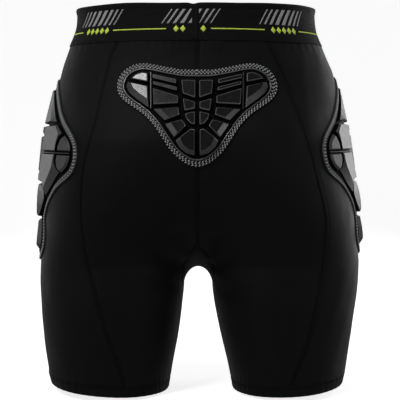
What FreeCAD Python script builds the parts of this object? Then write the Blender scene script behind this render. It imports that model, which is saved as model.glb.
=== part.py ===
import FreeCAD, Part
import math
import os

from FreeCAD import Placement, Rotation
from FreeCAD import Vector as V

# Padded impact shorts, as they stand when worn: elastic waistband, stretch-fabric panels,
# moulded tailbone pad at the back and a moulded hip-and-thigh pad on each side.
# Frame: millimetres, +Z up, +Y towards the front, +X towards the wearer's right. The origin is
# midway between the legs, level with the lowest edge of the hems and under the middle of the
# whole depth; the legs' own middle is front_shift further forward, because the seat stands out.

doc = FreeCAD.newDocument("impact_shorts")
PIECES = []

# ---------------------------------------------------------------- driving dimensions
DIMS = [
    ("garment_height", 450.0),
    ("band_bottom", 409.0),
    ("band_low", 424.0),
    ("band_high", 438.0),
    ("band_half_thick", 1.1),
    ("waist_half_width", 142.2),
    ("waist_half_depth", 102.0),
    ("fabric_thick", 0.9),
    ("seam_gap", 0.8),
    ("hem_height", 14.0),
    ("hem_tilt_deg", 3.3),
    ("hem_half_width", 67.6),
    ("hem_half_depth", 78.0),
    ("gusset_half_width", 34.0),
    ("front_shift", 15.0),
    ("seam_tape_width", 4.6),
    ("seam_tape_thick", 0.45),
    ("flange_thick", 1.35),
    ("pad_thick", 8.4),
    ("pad_skin", 1.0),
    ("foam_thick", 3.0),
    ("seam_clearance", 0.25),
    ("front_seam_clearance", 0.4),
    ("pad_clearance", 0.55),
    ("lining_clearance", 0.45),
    ("lining_thick", 1.0),
    ("stitch_margin", 0.6),
    ("stitch_thick", 0.4),
    ("extrude_reach", 200.0),
]
sheet = doc.addObject("Spreadsheet::Sheet", "Dims")
for row, (alias, value) in enumerate(DIMS, 1):
    sheet.set(f"A{row}", alias)
    sheet.set(f"B{row}", repr(value))
    sheet.setAlias(f"B{row}", alias)
doc.recompute()


def dim(alias):
    return float(getattr(sheet, alias))


TOP = dim("garment_height")
BAND_BOTTOM = dim("band_bottom")
BAND_HALF = dim("band_half_thick")
FABRIC = dim("fabric_thick")
HALF_GAP = dim("seam_gap") / 2
HEM_HEIGHT = dim("hem_height")
HEM_TILT = dim("hem_tilt_deg")
HEM_SLOPE = math.tan(math.radians(HEM_TILT))
FRONT_SHIFT = dim("front_shift")
TAPE_WIDTH = dim("seam_tape_width")
TAPE_THICK = dim("seam_tape_thick")
TAPE_LIFT = dim("seam_clearance")


# ---------------------------------------------------------------- the body under the fabric
def spline(pairs):
    """Natural cubic spline through (z, value) pairs, extended by at most 40 at each end."""
    xs = [float(pair[0]) for pair in pairs]
    ys = [float(pair[1]) for pair in pairs]
    count = len(xs)
    step = [xs[i + 1] - xs[i] for i in range(count - 1)]
    rise = [(ys[i + 1] - ys[i]) / step[i] for i in range(count - 1)]

    # second derivatives at the points, from a tridiagonal system
    diagonal = [1.0] * count
    above = [0.0] * count
    right = [0.0] * count
    for i in range(1, count - 1):
        weight = step[i - 1] / diagonal[i - 1]
        diagonal[i] = 2 * (step[i - 1] + step[i]) - weight * above[i - 1]
        above[i] = step[i]
        right[i] = 6 * (rise[i] - rise[i - 1]) - weight * right[i - 1]
    bend = [0.0] * count
    for i in range(count - 2, 0, -1):
        bend[i] = (right[i] - above[i] * bend[i + 1]) / diagonal[i]

    def curve(x):
        x = min(max(x, xs[0] - 40), xs[-1] + 40)
        i = 0
        while i < count - 2 and x > xs[i + 1]:
            i += 1
        along = x - xs[i]
        return (
            ys[i]
            + along * (rise[i] - step[i] * (2 * bend[i] + bend[i + 1]) / 6)
            + along * along * bend[i] / 2
            + along ** 3 * (bend[i + 1] - bend[i]) / (6 * step[i])
        )

    return curve


# All tables here are (z, value).
# outer half width of the garment
OUTER = spline([
    (0, 174.5), (40, 179.5), (80, 184.8), (120, 188.4), (150, 189.2), (170, 188.2), (200, 186.0),
    (240, 182.8), (280, 178.8), (320, 173.8), (350, 169.2), (375, 163.0), (395, 155.8),
    (410, 149.6), (424, 144), (438, 141.6), (TOP, dim("waist_half_width"))])
# x of the inner edge of the right leg, negative where the legs have merged
INNER = spline([
    (0, 39.4), (30, 34.2), (60, 27.6), (90, 21.8), (120, 17.6), (145, 15.6), (165, 12), (185, 5),
    (210, -7), (240, -19), (280, -33), (320, -45), (370, -57), (410, -62), (TOP, -62)])
# depth of a leg or of the seat behind its centre line
BACK = spline([
    (0, 78), (30, 80), (60, 83), (90, 86.5), (120, 88.5), (145, 88.5), (160, 90.5), (180, 97.5),
    (205, 108.5), (235, 119), (265, 125), (290, 125.5), (320, 121.5), (350, 115), (380, 109),
    (410, 104.5), (TOP, dim("waist_half_depth"))])
# the same in front of it
FRONT = spline([
    (0, 78), (30, 80), (60, 83.5), (90, 88), (120, 91.5), (150, 93), (200, 93.5), (250, 94.5),
    (300, 96), (350, 99), (400, 103), (TOP, dim("waist_half_depth"))])
# y of the centre line
MIDDLE = spline([(z, FRONT_SHIFT + y) for z, y in (
    (0, 5), (60, 3.5), (120, 1), (160, 0), (220, 0), (300, 0), (TOP, 0))])
# how softly the two legs run into one another
SOFT = spline([
    (0, 16), (60, 16), (103, 17), (130, 40), (142, 56), (152, 67), (164, 84), (180, 100),
    (205, 113), (250, 120), (350, 120), (TOP, 120)])


def smooth(ratio):
    ratio = min(max(ratio, 0.0), 1.0)
    return ratio * ratio * (3 - 2 * ratio)


_levels = {}


def level(z):
    """Cross-section values at a height; the first three are the leg's centre x, y and half width."""
    key = round(z, 4)
    if key not in _levels:
        outer, inner = OUTER(z), INNER(z)
        back, front = BACK(z), FRONT(z)
        _levels[key] = (
            (outer + inner) / 2, MIDDLE(z), (outer - inner) / 2, front, back, max(SOFT(z), 5.0),
            smooth((z - 295) / 105.0), outer, (back + front) / 2)
    return _levels[key]


def field(x, y, z):
    """Below zero inside the body, about millimetres away from it near the surface."""
    centre_x, centre_y, half, front, back, soft, mix, waist_wide, waist_deep = level(z)
    depth = front if y > centre_y else back
    depth_term = ((y - centre_y) / depth) ** 2
    scale = math.sqrt(half * depth)
    left = (math.sqrt(((x + centre_x) / half) ** 2 + depth_term) - 1) * scale
    right = (math.sqrt(((x - centre_x) / half) ** 2 + depth_term) - 1) * scale
    blend = max(soft - abs(left - right), 0.0) / soft
    legs = min(left, right) - blend * blend * soft / 4
    if mix <= 0:
        return legs
    radial = math.sqrt((x / waist_wide) ** 2 + ((y - centre_y) / waist_deep) ** 2)
    return legs * (1 - mix) + (radial - 1) * math.sqrt(waist_wide * waist_deep) * mix


def normal(point):
    probe = 0.35
    x, y, z = point.x, point.y, point.z
    gradient = V(field(x + probe, y, z) - field(x - probe, y, z),
                 field(x, y + probe, z) - field(x, y - probe, z),
                 field(x, y, z + probe) - field(x, y, z - probe))
    gradient.normalize()
    return gradient


def hit(origin, direction, far):
    """Where a line from inside the body leaves it, by bisection."""
    near = 0.0
    for _ in range(34):
        middle = (near + far) / 2
        point = origin + direction * middle
        if field(point.x, point.y, point.z) < 0:
            near = middle
        else:
            far = middle
    return origin + direction * near


def ray(angle, z):
    """Surface point of the right half seen from its centre line: 0 outwards, -90 degrees back."""
    centre_x, centre_y = level(z)[:2]
    direction = V(math.cos(angle), math.sin(angle), 0)
    far = 260.0
    if direction.x < -1e-6:
        far = min(far, centre_x / -direction.x)
    return hit(V(centre_x, centre_y, z), direction, far)


def polar(point):
    """Angle and radius of a point round the right half's centre line."""
    centre_x, centre_y = level(point.z)[:2]
    x, y = point.x - centre_x, point.y - centre_y
    return math.atan2(y, x), math.hypot(x, y)


def rear(x, z):
    return hit(V(x, FRONT_SHIFT, z), V(0, -1, 0), 170.0)


def fore(x, z):
    return hit(V(x, FRONT_SHIFT, z), V(0, 1, 0), 170.0)


WRAP_STEP = 3.0  # degrees between the points that distances round the body are measured on
_arcs = {}


def wrap(distance, z):
    """Surface point a distance round the body from the side line, positive to the back."""
    key = (round(z, 3), distance > 0)
    if key not in _arcs:
        turn = -1 if distance > 0 else 1
        points = [ray(turn * math.radians(WRAP_STEP * i), z) for i in range(34)]
        run = [0.0]
        for start, stop in zip(points, points[1:]):
            run.append(run[-1] + (stop - start).Length)
        _arcs[key] = (run, turn)
    run, turn = _arcs[key]
    i = 0
    while i < len(run) - 2 and abs(distance) > run[i + 1]:
        i += 1
    part = (abs(distance) - run[i]) / (run[i + 1] - run[i])
    return ray(turn * math.radians(WRAP_STEP * (i + part)), z)


# ---------------------------------------------------------------- solids that lie on the body
def knots(count, degree=3):
    """Multiplicities and knots of a clamped uniform B-spline."""
    inner = count - degree - 1
    return [degree + 1] + [1] * inner + [degree + 1], [float(i) for i in range(inner + 2)]


def pole_surface(grid):
    u_mults, u_knots = knots(len(grid))
    v_mults, v_knots = knots(len(grid[0]))
    surface = Part.BSplineSurface()
    surface.buildFromPolesMultsKnots(
        grid, u_mults, v_mults, u_knots, v_knots, False, False, 3, 3)
    return surface


def layer(points, low, high):
    """A closed solid between two offsets of a grid of surface points."""
    normals = [[normal(point) for point in row] for row in points]

    def offset(distance):
        return pole_surface([[point + direction * distance for point, direction in zip(*rows)]
                             for rows in zip(points, normals)])

    outer, inner = offset(high), offset(low)
    faces = [outer.toShape(), inner.toShape()]
    u0, u1, v0, v1 = outer.bounds()
    edges = [(outer.uIso(u), inner.uIso(u)) for u in (u0, u1)]
    edges += [(outer.vIso(v), inner.vIso(v)) for v in (v0, v1)]
    for outer_edge, inner_edge in edges:
        faces.append(Part.makeRuledSurface(outer_edge.toShape(), inner_edge.toShape()))
    sewn = Part.Compound(faces)
    sewn.sewShape(1e-4)
    solid = Part.Solid(sewn.Shells[0])
    if solid.Volume < 0:
        solid.reverse()
    return solid


def feature(name, shape):
    obj = doc.addObject("Part::Feature", name)
    obj.Shape = shape
    return obj


def add_piece(obj, label):
    """Label an object and put it on the list to export."""
    obj.Label = label
    PIECES.append(obj)


def add_pair(obj, label):
    """Add a right-hand object and its mirror image on the left."""
    add_piece(obj, label + "_right")
    mirror = doc.addObject("Part::Mirroring", label + "_left")
    mirror.Source = obj
    mirror.Normal = V(1, 0, 0)
    add_piece(mirror, label + "_left")


def add_layer(label, shape):
    add_piece(feature(label, shape), label)


def add_layer_pair(label, shape):
    add_pair(feature(label + "_right", shape), label)


# ---------------------------------------------------------------- gusset stations
# The gusset is a diamond under the crotch. Each station is a plane through the x direction, at
# an angle from straight down, positive to the front.
GUSSET_SPAN = math.radians(56)
GUSSET_TIP = 1.6  # half width at the two ends
GUSSET_ORIGIN = V(0, FRONT_SHIFT, 215)


def gusset_half_width(angle):
    return GUSSET_TIP + (dim("gusset_half_width") - GUSSET_TIP) * (1 - abs(angle) / GUSSET_SPAN)


def gusset_angles(span, count):
    return [-span + 2 * span * i / (count - 1) for i in range(count)]


def across(angle, length, steps):
    """Equally spaced points along the body from x = 0 outwards to the right, in one station."""
    down = V(0, math.sin(angle), -math.cos(angle))
    point = hit(GUSSET_ORIGIN, down, 150.0)
    points = [point]
    substeps = 4
    stride = length / (steps * substeps)
    for i in range(steps * substeps):
        slope = normal(point)
        slope_down = slope.dot(down)
        tangent = V(1, 0, 0) * slope_down - down * slope.x
        if tangent.x < 0 or (slope_down < 0 and i == 0):
            tangent = tangent * -1
        if i and tangent.dot(last) < 0:
            tangent = tangent * -1
        tangent.normalize()
        last = tangent
        point = point + tangent * stride
        # draw the point back onto the body without leaving the plane
        for _ in range(3):
            slope = normal(point)
            pull = V(1, 0, 0) * slope.x + down * slope.dot(down)
            square = pull.dot(pull)
            if square > 1e-6:
                point = point - pull * (field(point.x, point.y, point.z) / square * 0.9)
        if (i + 1) % substeps == 0:
            points.append(point)
    return points


def gusset_side(angle, extra):
    """Point on the gusset's right edge, moved outwards by extra."""
    return across(angle, gusset_half_width(angle) + extra, 14)[-1]


class InnerEdge:
    """Where the rear (sign -1) or front (+1) panels end on their inner side, by height."""

    def __init__(self, sign):
        self.sign = sign
        self.points = [gusset_side(sign * GUSSET_SPAN * i / 24, HALF_GAP) for i in range(25)]
        self.low = self.points[0].z
        self.high = self.points[-1].z

    def at(self, z):
        if z <= self.low:
            return ray(self.sign * (math.pi - HALF_GAP / level(z)[2]), z)
        if z < self.high:
            for start, stop in zip(self.points, self.points[1:]):
                if start.z <= z <= stop.z:
                    part = (z - start.z) / max(stop.z - start.z, 1e-9)
                    return start + (stop - start) * part
        # above the gusset the edge runs in to the centre seam
        part = smooth((z - self.high) / 5.0)
        x = max(HALF_GAP, self.points[-1].x * (1 - part) + HALF_GAP * part)
        return rear(x, z) if self.sign < 0 else fore(x, z)


REAR_EDGE = InnerEdge(-1)
FRONT_EDGE = InnerEdge(1)

# ---------------------------------------------------------------- fabric panels
# (z, x) of the seams between the side panel and the front and back panels
SEAM_X = spline([
    (0, 91), (27, 97.5), (50, 104.5), (80, 114.5), (110, 122.5), (140, 128.8), (172, 134.6),
    (200, 138.2), (228, 138.2), (257, 134), (284, 128), (312, 120.6), (334, 114), (360, 105),
    (384, 96.5), (410, 85.5), (TOP, 70)])

PANEL_BOTTOM = HEM_HEIGHT + 0.5
PANEL_TOP = BAND_BOTTOM - 0.6
SEAM_TOP = BAND_BOTTOM - 6
PANEL_ROWS = (
    [PANEL_BOTTOM, 22, 32, 44, 56, 68, 80, 92, 103]
    + [112.0 + 6.0 * i for i in range(16)]
    + [214, 224, 236, 248, 260, 272, 284, 296, 308, 320, 332, 344, 356, 368, 379, 389, 397, 403,
       PANEL_TOP])


def hem_lift(x):
    """The hems are cut square to the outward-leaning legs, so their outer side is higher."""
    return (abs(x) - INNER(0)) * HEM_SLOPE


def faded_lift(x, z):
    """The hem's lift, dying out over the 60 mm above it."""
    return hem_lift(x) * (1 - smooth((z - PANEL_BOTTOM) / 60.0))


def back_seam(z):
    return rear(SEAM_X(z), z)


def front_seam(z):
    return fore(SEAM_X(z), z)


def shifted(seam, distance):
    """A seam line moved along the body, positive towards the outside of the leg."""

    def moved(z):
        angle, radius = polar(seam(z))
        return ray(angle + (distance / radius if angle < 0 else -distance / radius), z)

    return moved


def panel(start, stop, columns):
    """A right-hand panel between two lines that run up the body."""
    grid = []
    for z in PANEL_ROWS:
        first = polar(start(z))[0]
        last = polar(stop(z))[0]
        row = []
        for i in range(columns):
            angle = first + (last - first) * (i / (columns - 1.0))
            row.append(ray(angle, z + faded_lift(ray(angle, z).x, z)))
        grid.append(row)
    return layer(grid, -FABRIC, 0)


def crotch_gusset():
    grid = []
    for angle in gusset_angles(GUSSET_SPAN, 23):
        right = across(angle, gusset_half_width(angle) - HALF_GAP, 8)
        left = [V(-point.x, point.y, point.z) for point in reversed(right[1:])]
        grid.append(left + right)
    return layer(grid, -FABRIC, 0)


add_layer_pair("side_panel", panel(shifted(front_seam, HALF_GAP), shifted(back_seam, HALF_GAP), 24))
add_layer_pair("back_panel", panel(shifted(back_seam, -HALF_GAP), REAR_EDGE.at, 15))
add_layer_pair("front_panel", panel(shifted(front_seam, -HALF_GAP), FRONT_EDGE.at, 15))
add_layer("crotch_gusset", crotch_gusset())

# ---------------------------------------------------------------- flatlock seams over the joins
TAPE_COLUMNS = [(k - 1.5) / 3.0 for k in range(4)]  # places across a tape, in tape widths


def tape_layer(grid, lift=TAPE_LIFT):
    return layer(grid, lift, lift + TAPE_THICK)


def tape(curve, heights):
    """A narrow strip centred on a seam line that runs up the body."""
    grid = []
    for z in heights:
        point = curve(z)
        angle, radius = polar(point)
        lifted = z + faded_lift(point.x, z)
        grid.append([ray(angle + k * TAPE_WIDTH / radius, lifted) for k in TAPE_COLUMNS])
    return tape_layer(grid)


def centre_tape(low, high, steps, surface, lift=TAPE_LIFT):
    """A strip up the x = 0 line of the front or back."""
    grid = []
    for i in range(steps + 1):
        z = low + i * (high - low) / steps
        grid.append([V(x, surface(abs(x), z).y, z) for x in
                     (-TAPE_WIDTH / 2, -TAPE_WIDTH / 6, TAPE_WIDTH / 6, TAPE_WIDTH / 2)])
    return tape_layer(grid, lift)


def gusset_tape():
    width = TAPE_WIDTH * 0.8
    return tape_layer([[gusset_side(angle, k * width) for k in TAPE_COLUMNS]
                       for angle in gusset_angles(GUSSET_SPAN * 0.93, 27)])


# SEAM_TOP is added after the 403 row, so the top row of poles is doubled there
seam_rows = [z for z in PANEL_ROWS if z > PANEL_BOTTOM + 6][:-1] + [SEAM_TOP]
inseam_rows = [z for z in seam_rows if z < REAR_EDGE.low - 6]
add_layer_pair("side_back_seam", tape(back_seam, seam_rows))
add_layer_pair("side_front_seam", tape(front_seam, seam_rows))
add_layer_pair("inseam", tape(lambda z: ray(math.pi - 1e-4, z), inseam_rows))

# the rear centre seam breaks at the tailbone pad, so it is two runs
add_layer("centre_back_seam", Part.makeCompound([
    centre_tape(379.5, SEAM_TOP, 5, rear),
    centre_tape(REAR_EDGE.high + 10, 267, 9, rear)]))
add_layer("centre_front_seam", centre_tape(
    FRONT_EDGE.high + 10, SEAM_TOP, 22, fore, dim("front_seam_clearance")))
add_layer_pair("gusset_seam", gusset_tape())


# ---------------------------------------------------------------- waistband
def ellipse(name, major, minor, placement):
    obj = doc.addObject("Part::Ellipse", name)
    obj.MajorRadius = major
    obj.MinorRadius = minor
    obj.Placement = placement
    return obj


def loft(name, sections):
    obj = doc.addObject("Part::Loft", name)
    obj.Sections = sections
    obj.Solid = True
    return obj


def cut(name, base, tool):
    obj = doc.addObject("Part::Cut", name)
    obj.Base = base
    obj.Tool = tool
    return obj


def waist_ring(name, heights, low, high):
    """An oval ring that follows the waist, between two offsets from the body."""

    def ovals(tag, grow):
        return [ellipse(f"{name}_{tag}{i}", OUTER(z) + grow, (BACK(z) + FRONT(z)) / 2 + grow,
                        Placement(V(0, MIDDLE(z), z), Rotation()))
                for i, z in enumerate(heights)]

    outer = loft(name + "_outer", ovals("o", high))
    inner = loft(name + "_inner", ovals("i", low))
    return cut(name, outer, inner)


def waistband():
    heights = [BAND_BOTTOM, 416.0, dim("band_low"), dim("band_high"), TOP]
    band = waist_ring("waistband", heights, -BAND_HALF, BAND_HALF)
    bound = {0: "band_bottom", 2: "band_low", 3: "band_high", 4: "garment_height"}
    for wall, sign in ((band.Base, "+"), (band.Tool, "-")):
        ovals = wall.Sections
        for i, alias in bound.items():
            ovals[i].setExpression("Placement.Base.z", "Dims." + alias)
        for radius, alias in (("MajorRadius", "waist_half_width"),
                              ("MinorRadius", "waist_half_depth")):
            ovals[4].setExpression(radius, f"Dims.{alias} {sign} Dims.band_half_thick")
    return band


def waistband_seam():
    """A thin ring inside the band, centred on its lower edge."""
    reach = 4.5
    return waist_ring("waistband_seam", [BAND_BOTTOM - reach, BAND_BOTTOM, BAND_BOTTOM + reach],
                      -BAND_HALF - 1.1, -BAND_HALF - 0.3)


def centred_box(name, width, thick, height, y, z, tilt):
    """A thin upright box centred on x = 0, tilted about the x direction."""
    box = doc.addObject("Part::Box", name)
    box.Length = width
    box.Width = thick
    box.Height = height
    box.Placement = Placement(V(-width / 2, y, z), Rotation(V(1, 0, 0), tilt))
    return box


def waistband_join():
    """The bar-tacked join where the ends of the elastic meet, at the centre of the back."""
    join = centred_box("waistband_join", width=7.0, thick=0.7, height=34.0,
                       y=FRONT_SHIFT - (BACK(BAND_BOTTOM) + BAND_HALF + 1.0) - 0.2,
                       z=BAND_BOTTOM + 3.5, tilt=-1.6)
    join.setExpression("Placement.Base.z", "Dims.band_bottom + 3.5")
    return join


add_piece(waistband(), "waistband")
add_piece(waistband_seam(), "waistband_seam")
add_piece(waistband_join(), "waistband_join")
add_piece(centred_box("inner_label", width=24.0, thick=0.5, height=32.0,
                      y=FRONT_SHIFT - (BACK(BAND_BOTTOM) - 6.5),
                      z=BAND_BOTTOM - 30, tilt=0), "inner_label")

# ---------------------------------------------------------------- hems: the turned leg edges
HEM_CENTRE = (OUTER(0) + INNER(0)) / 2
LEG_LEAN = ((OUTER(HEM_HEIGHT) + INNER(HEM_HEIGHT)) / 2 - HEM_CENTRE) / HEM_HEIGHT


def hem_oval(name, up, offset):
    """An oval in the hem's tilted plane, turned a quarter because its depth is the longer way."""
    tilted = Placement(V(HEM_CENTRE, MIDDLE(up), hem_lift(HEM_CENTRE)),
                       Rotation(V(0, 1, 0), -HEM_TILT))
    local = Placement(V(LEG_LEAN * up, 0, up), Rotation(V(0, 0, 1), 90))
    oval = ellipse(name, dim("hem_half_depth"), dim("hem_half_width"), tilted.multiply(local))
    wider = (OUTER(up) - INNER(up)) / 2 - (OUTER(0) - INNER(0)) / 2
    deeper = FRONT(up) - FRONT(0)
    oval.setExpression("MajorRadius", f"Dims.hem_half_depth + {deeper + offset:.4f}")
    oval.setExpression("MinorRadius", f"Dims.hem_half_width + {wider + offset:.4f}")
    return oval


def add_hem_rings(label, bottom, top, low, high):
    name = label + "_right"
    walls = [loft(f"{name}_{tag}", [hem_oval(f"{name}_{tag}{i}", up, offset)
                                    for i, up in enumerate((bottom, top))])
             for tag, offset in (("outer", high), ("inner", low))]
    add_pair(cut(name, *walls), label)


add_hem_rings("leg_hem", bottom=0.0, top=HEM_HEIGHT, low=-1.9, high=0.0)
add_hem_rings("hem_stitch", bottom=HEM_HEIGHT - 4.0, top=HEM_HEIGHT - 1.0, low=0.2, high=0.6)

# ---------------------------------------------------------------- pad outlines
# Tailbone pad, right half: (x, z). Flange edge, then core edge.
TAIL_OUT = [
    (0, 376.2), (17.3, 376.3), (28.4, 378.2), (39.4, 380.3), (50.5, 382.6), (58.9, 383.5),
    (67.2, 382.8), (75.6, 379.7), (82.8, 374.2), (87.7, 366.4), (89.7, 358.5), (88.9, 352),
    (85, 345.4), (79, 340), (69.6, 333.6), (59.6, 326.8), (51.2, 319), (43.5, 309.6),
    (36.5, 299), (29.6, 289), (21.5, 280.8), (12.9, 274.6), (5.4, 271.2), (0, 270.4)]
TAIL_IN = [
    (0, 366.8), (16.8, 367.3), (27.8, 369.2), (38.9, 371.4), (49.8, 373.9), (59.2, 375.2),
    (68, 373.1), (74.3, 368.8), (78.4, 362.3), (78.9, 355.5), (75.9, 349.4), (69.1, 343.4),
    (59.7, 336.8), (50.4, 329.2), (42.5, 320.9), (35.8, 312), (29.4, 303.3), (24, 295.8),
    (17.8, 289.2), (10.7, 284), (5.3, 281.6), (0, 280.8)]
# raised blocks, right half
TAIL_BLOCKS = [
    [(53.2, 370.8), (60.1, 371.8), (66.6, 369.3), (71.9, 364.3), (53.2, 360.2)],
    [(53.2, 355.2), (75, 361), (76.6, 355), (73.6, 348.8), (66.9, 342.6), (52.2, 331.9)],
    [(22.3, 363.2), (48.1, 369.6), (48.1, 364.8), (22.7, 358.4)],
    [(22, 354.6), (47.8, 361.4), (47.7, 357.6), (21.5, 350.2)],
    [(20.4, 344), (47.7, 352.9), (46.6, 334.6), (20.4, 336.1)],
    [(20.3, 331.5), (47.2, 330.2), (34.7, 318.2), (18.7, 323.8)],
    [(16.3, 318.8), (34.6, 314.8), (24.3, 301.6), (11.9, 312.7)],
    [(2.1, 362), (16.9, 362.2), (15.5, 346.9), (2.1, 341.8)],
    [(2.3, 337.4), (15.4, 341.2), (13.5, 327.8), (2.3, 330.1)],
    [(2.4, 327.1), (13.1, 324.9), (11.8, 319.8), (7.6, 315), (2.4, 313.4)],
    [(2.5, 309.2), (7.3, 309.6), (23.2, 299), (18.7, 291.6), (11.4, 286.1), (2.7, 284)],
]
# Hip pad, rear half: (distance round the body behind the side line, z). Flange, then core edge.
HIP_OUT = [
    (0, 370), (9, 368.5), (18, 363), (27, 355), (43, 342), (56, 331), (73, 319.5), (91, 308.5),
    (102, 299.5), (108, 291), (110.5, 283), (110, 273.5), (106.5, 264), (98.5, 256.8),
    (87, 250.6), (75, 244.5), (63, 236), (51, 227.3), (40, 217.5), (32.5, 208), (32.5, 200.5),
    (35.5, 191), (36, 182), (33, 174), (26, 166), (15, 159), (0, 156)]
HIP_IN = [
    (0, 359.5), (8, 358.5), (15, 355), (26, 347), (38.5, 337), (53, 325.4), (68.5, 315),
    (84.5, 305.4), (95.5, 298), (101.4, 291.2), (103.8, 282.4), (103.4, 273.8), (99.4, 266.8),
    (90.4, 260.6), (80.4, 254.8), (69.6, 247.2), (58, 237.6), (46, 227.6), (36, 218),
    (27.4, 208), (25.6, 200), (28.4, 190.7), (29.4, 182), (27.2, 174.5), (20, 168.5),
    (10, 164), (0, 162.6)]
# raised blocks, rear half
HIP_BLOCKS = [
    [(2, 356.6), (11, 354.8), (26, 344.8), (39, 334.6), (52, 324.2), (61, 318.4), (2, 316.6)],
    [(19.6, 314.2), (68.4, 313.8), (83.4, 304.9), (79.4, 301.4), (75.8, 295), (75.6, 286),
     (19.6, 285.6)],
    [(19.6, 281.8), (76, 282), (75.6, 274.8), (78.4, 267.6), (84.6, 262.2), (77.6, 256.8),
     (67.8, 247.8), (59.4, 240.4), (53.6, 235.2), (50.2, 239.8), (41.4, 250.2), (19.6, 250.2)],
    [(87.2, 302), (95.4, 297.2), (100.2, 291), (101.8, 285.8), (79.4, 286.2), (79.4, 291),
     (82.6, 298)],
    [(79.6, 281.6), (101.8, 281.2), (101, 275.2), (97.6, 269.2), (89.4, 263.8), (82.8, 268),
     (79.4, 275)],
]
# blocks that cross the side line
HIP_SPINE = [
    [(-16, 313.8), (16, 313.8), (16, 307.4), (0, 304), (-16, 307.4)],
    [(-16.4, 303.6), (0, 300.2), (16.4, 303.6), (16.4, 266), (8.6, 261.4), (-8.6, 261.4),
     (-16.4, 266)],
    [(-15, 262), (-7.6, 258), (7.6, 258), (15, 262), (15, 250.2), (-15, 250.2)],
    [(-30, 246.8), (38, 246.8), (46.4, 238), (46.8, 232), (37.6, 222.4), (29, 213.6),
     (19, 209.2), (-15, 209.2), (-22.6, 213.6), (-29.3, 222.4), (-36.5, 232), (-36.2, 238)],
    [(-19, 204), (19, 204), (23, 192), (24.2, 182), (21.4, 174.6), (14, 170.2), (-11, 170.2),
     (-16.7, 174.6), (-18.9, 182), (-18, 192)],
]
# (z, distance) half width of the hip pad's grid of body points, to the rear
HIP_REACH = spline([
    (145, 46), (175, 50), (200, 56), (225, 78), (250, 108), (275, 120), (295, 118), (320, 92),
    (345, 60), (365, 40), (382, 34)])
SPINE_HALF = 20.0  # the hip pad is symmetrical this far from the side line
FRONT_WING = 0.78  # beyond it the front wing is this much of the rear one


def left_side(x):
    return -x


def front_side(distance):
    if distance <= SPINE_HALF:
        return -distance
    return -(SPINE_HALF + (distance - SPINE_HALF) * FRONT_WING)


def whole(half, opposite):
    """A closed outline from one half, the other half's places given by opposite."""
    return half + [(opposite(a), z) for a, z in reversed(half) if a > 1e-6]


def with_opposites(blocks, opposite):
    return blocks + [[(opposite(a), z) for a, z in block] for block in blocks]


def flat_side(points):
    """Outline points given round the body, as seen square on to the side."""
    return [(wrap(distance, z).y - FRONT_SHIFT, z) for distance, z in points]


def inset(outline, distance):
    """A closed polygon moved inwards along its corner bisectors."""
    count = len(outline)
    area = sum(outline[i][0] * outline[(i + 1) % count][1]
               - outline[(i + 1) % count][0] * outline[i][1] for i in range(count))
    sign = 1 if area > 0 else -1

    def inward(start, stop):
        run, rise = stop[0] - start[0], stop[1] - start[1]
        length = math.hypot(run, rise)
        return -rise / length * sign, run / length * sign

    moved = []
    for i, corner in enumerate(outline):
        before = inward(outline[i - 1], corner)
        after = inward(corner, outline[(i + 1) % count])
        divisor = 1 + before[0] * after[0] + before[1] * after[1]
        moved.append(tuple(corner[k] + distance * (before[k] + after[k]) / divisor
                           for k in (0, 1)))
    return moved


# ---------------------------------------------------------------- pads
# sketch placement and extrusion direction for each way of looking at a pad
VIEWS = {
    "back": (Placement(V(0, 0, 0), Rotation(V(1, 0, 0), V(0, 0, 1), V(0, -1, 0), "XZY")),
             V(0, -1, 0)),
    "side": (Placement(V(0, FRONT_SHIFT, 0),
                       Rotation(V(0, 1, 0), V(0, 0, 1), V(1, 0, 0), "XZY")),
             V(1, 0, 0)),
}


def prism(name, loops, view):
    """Closed outlines sketched square on and extruded out through the body's surface."""
    placement, direction = VIEWS[view]
    outline = doc.addObject("Sketcher::SketchObject", name + "_sketch")
    outline.Placement = placement
    for loop in loops:
        for start, stop in zip(loop, loop[1:] + loop[:1]):
            outline.addGeometry(Part.LineSegment(V(*start, 0), V(*stop, 0)), False)
    solid = doc.addObject("Part::Extrusion", name)
    solid.Base = outline
    solid.DirMode = "Custom"
    solid.Dir = direction
    solid.Solid = True
    solid.setExpression("LengthFwd", "Dims.extrude_reach")
    return solid


def boolean(kind, name, shapes):
    obj = doc.addObject(kind, name)
    obj.Shapes = shapes
    return obj


def tail_grid():
    """Body points over an area a little larger than the tailbone pad."""
    return [[rear(-100 + 200 * k / 20.0, 256 + (394 - 256) * i / 16.0) for k in range(21)]
            for i in range(17)]


def hip_grid():
    """The same for a hip pad."""
    grid = []
    for i in range(25):
        z = 147 + (382 - 147) * i / 24.0
        back = HIP_REACH(z)
        front = front_side(back)
        grid.append([wrap(front + (back - front) * k / 20.0, z) for k in range(21)])
    return grid


LIFT = dim("pad_clearance")
FLANGE_TOP = LIFT + dim("flange_thick")
FOAM_THICK = dim("foam_thick")
VOID_TOP = LIFT + FOAM_THICK + 0.4
FOAM_LOW = LIFT + 0.1
LINING_TOP = -FABRIC - dim("lining_clearance")
STITCH_LOW = FLANGE_TOP + 0.12
# offsets from the body between which each part of a pad lies: name, low, high
PAD_LAYERS = [
    ("base", LIFT, FLANGE_TOP),
    ("core", LIFT, VOID_TOP + dim("pad_skin")),
    ("top", VOID_TOP + 0.5, dim("pad_thick")),
    ("void", LIFT - 0.6, VOID_TOP),
    ("foam", FOAM_LOW, FOAM_LOW + FOAM_THICK),
    ("line", LINING_TOP - dim("lining_thick"), LINING_TOP),
    ("st", STITCH_LOW, STITCH_LOW + dim("stitch_thick")),
]
# how far outlines are drawn in from the core edge or the flange edge
VOID_INSET = 2.2
FOAM_INSET = 2.6
STITCH_INSET = 1.4


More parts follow.
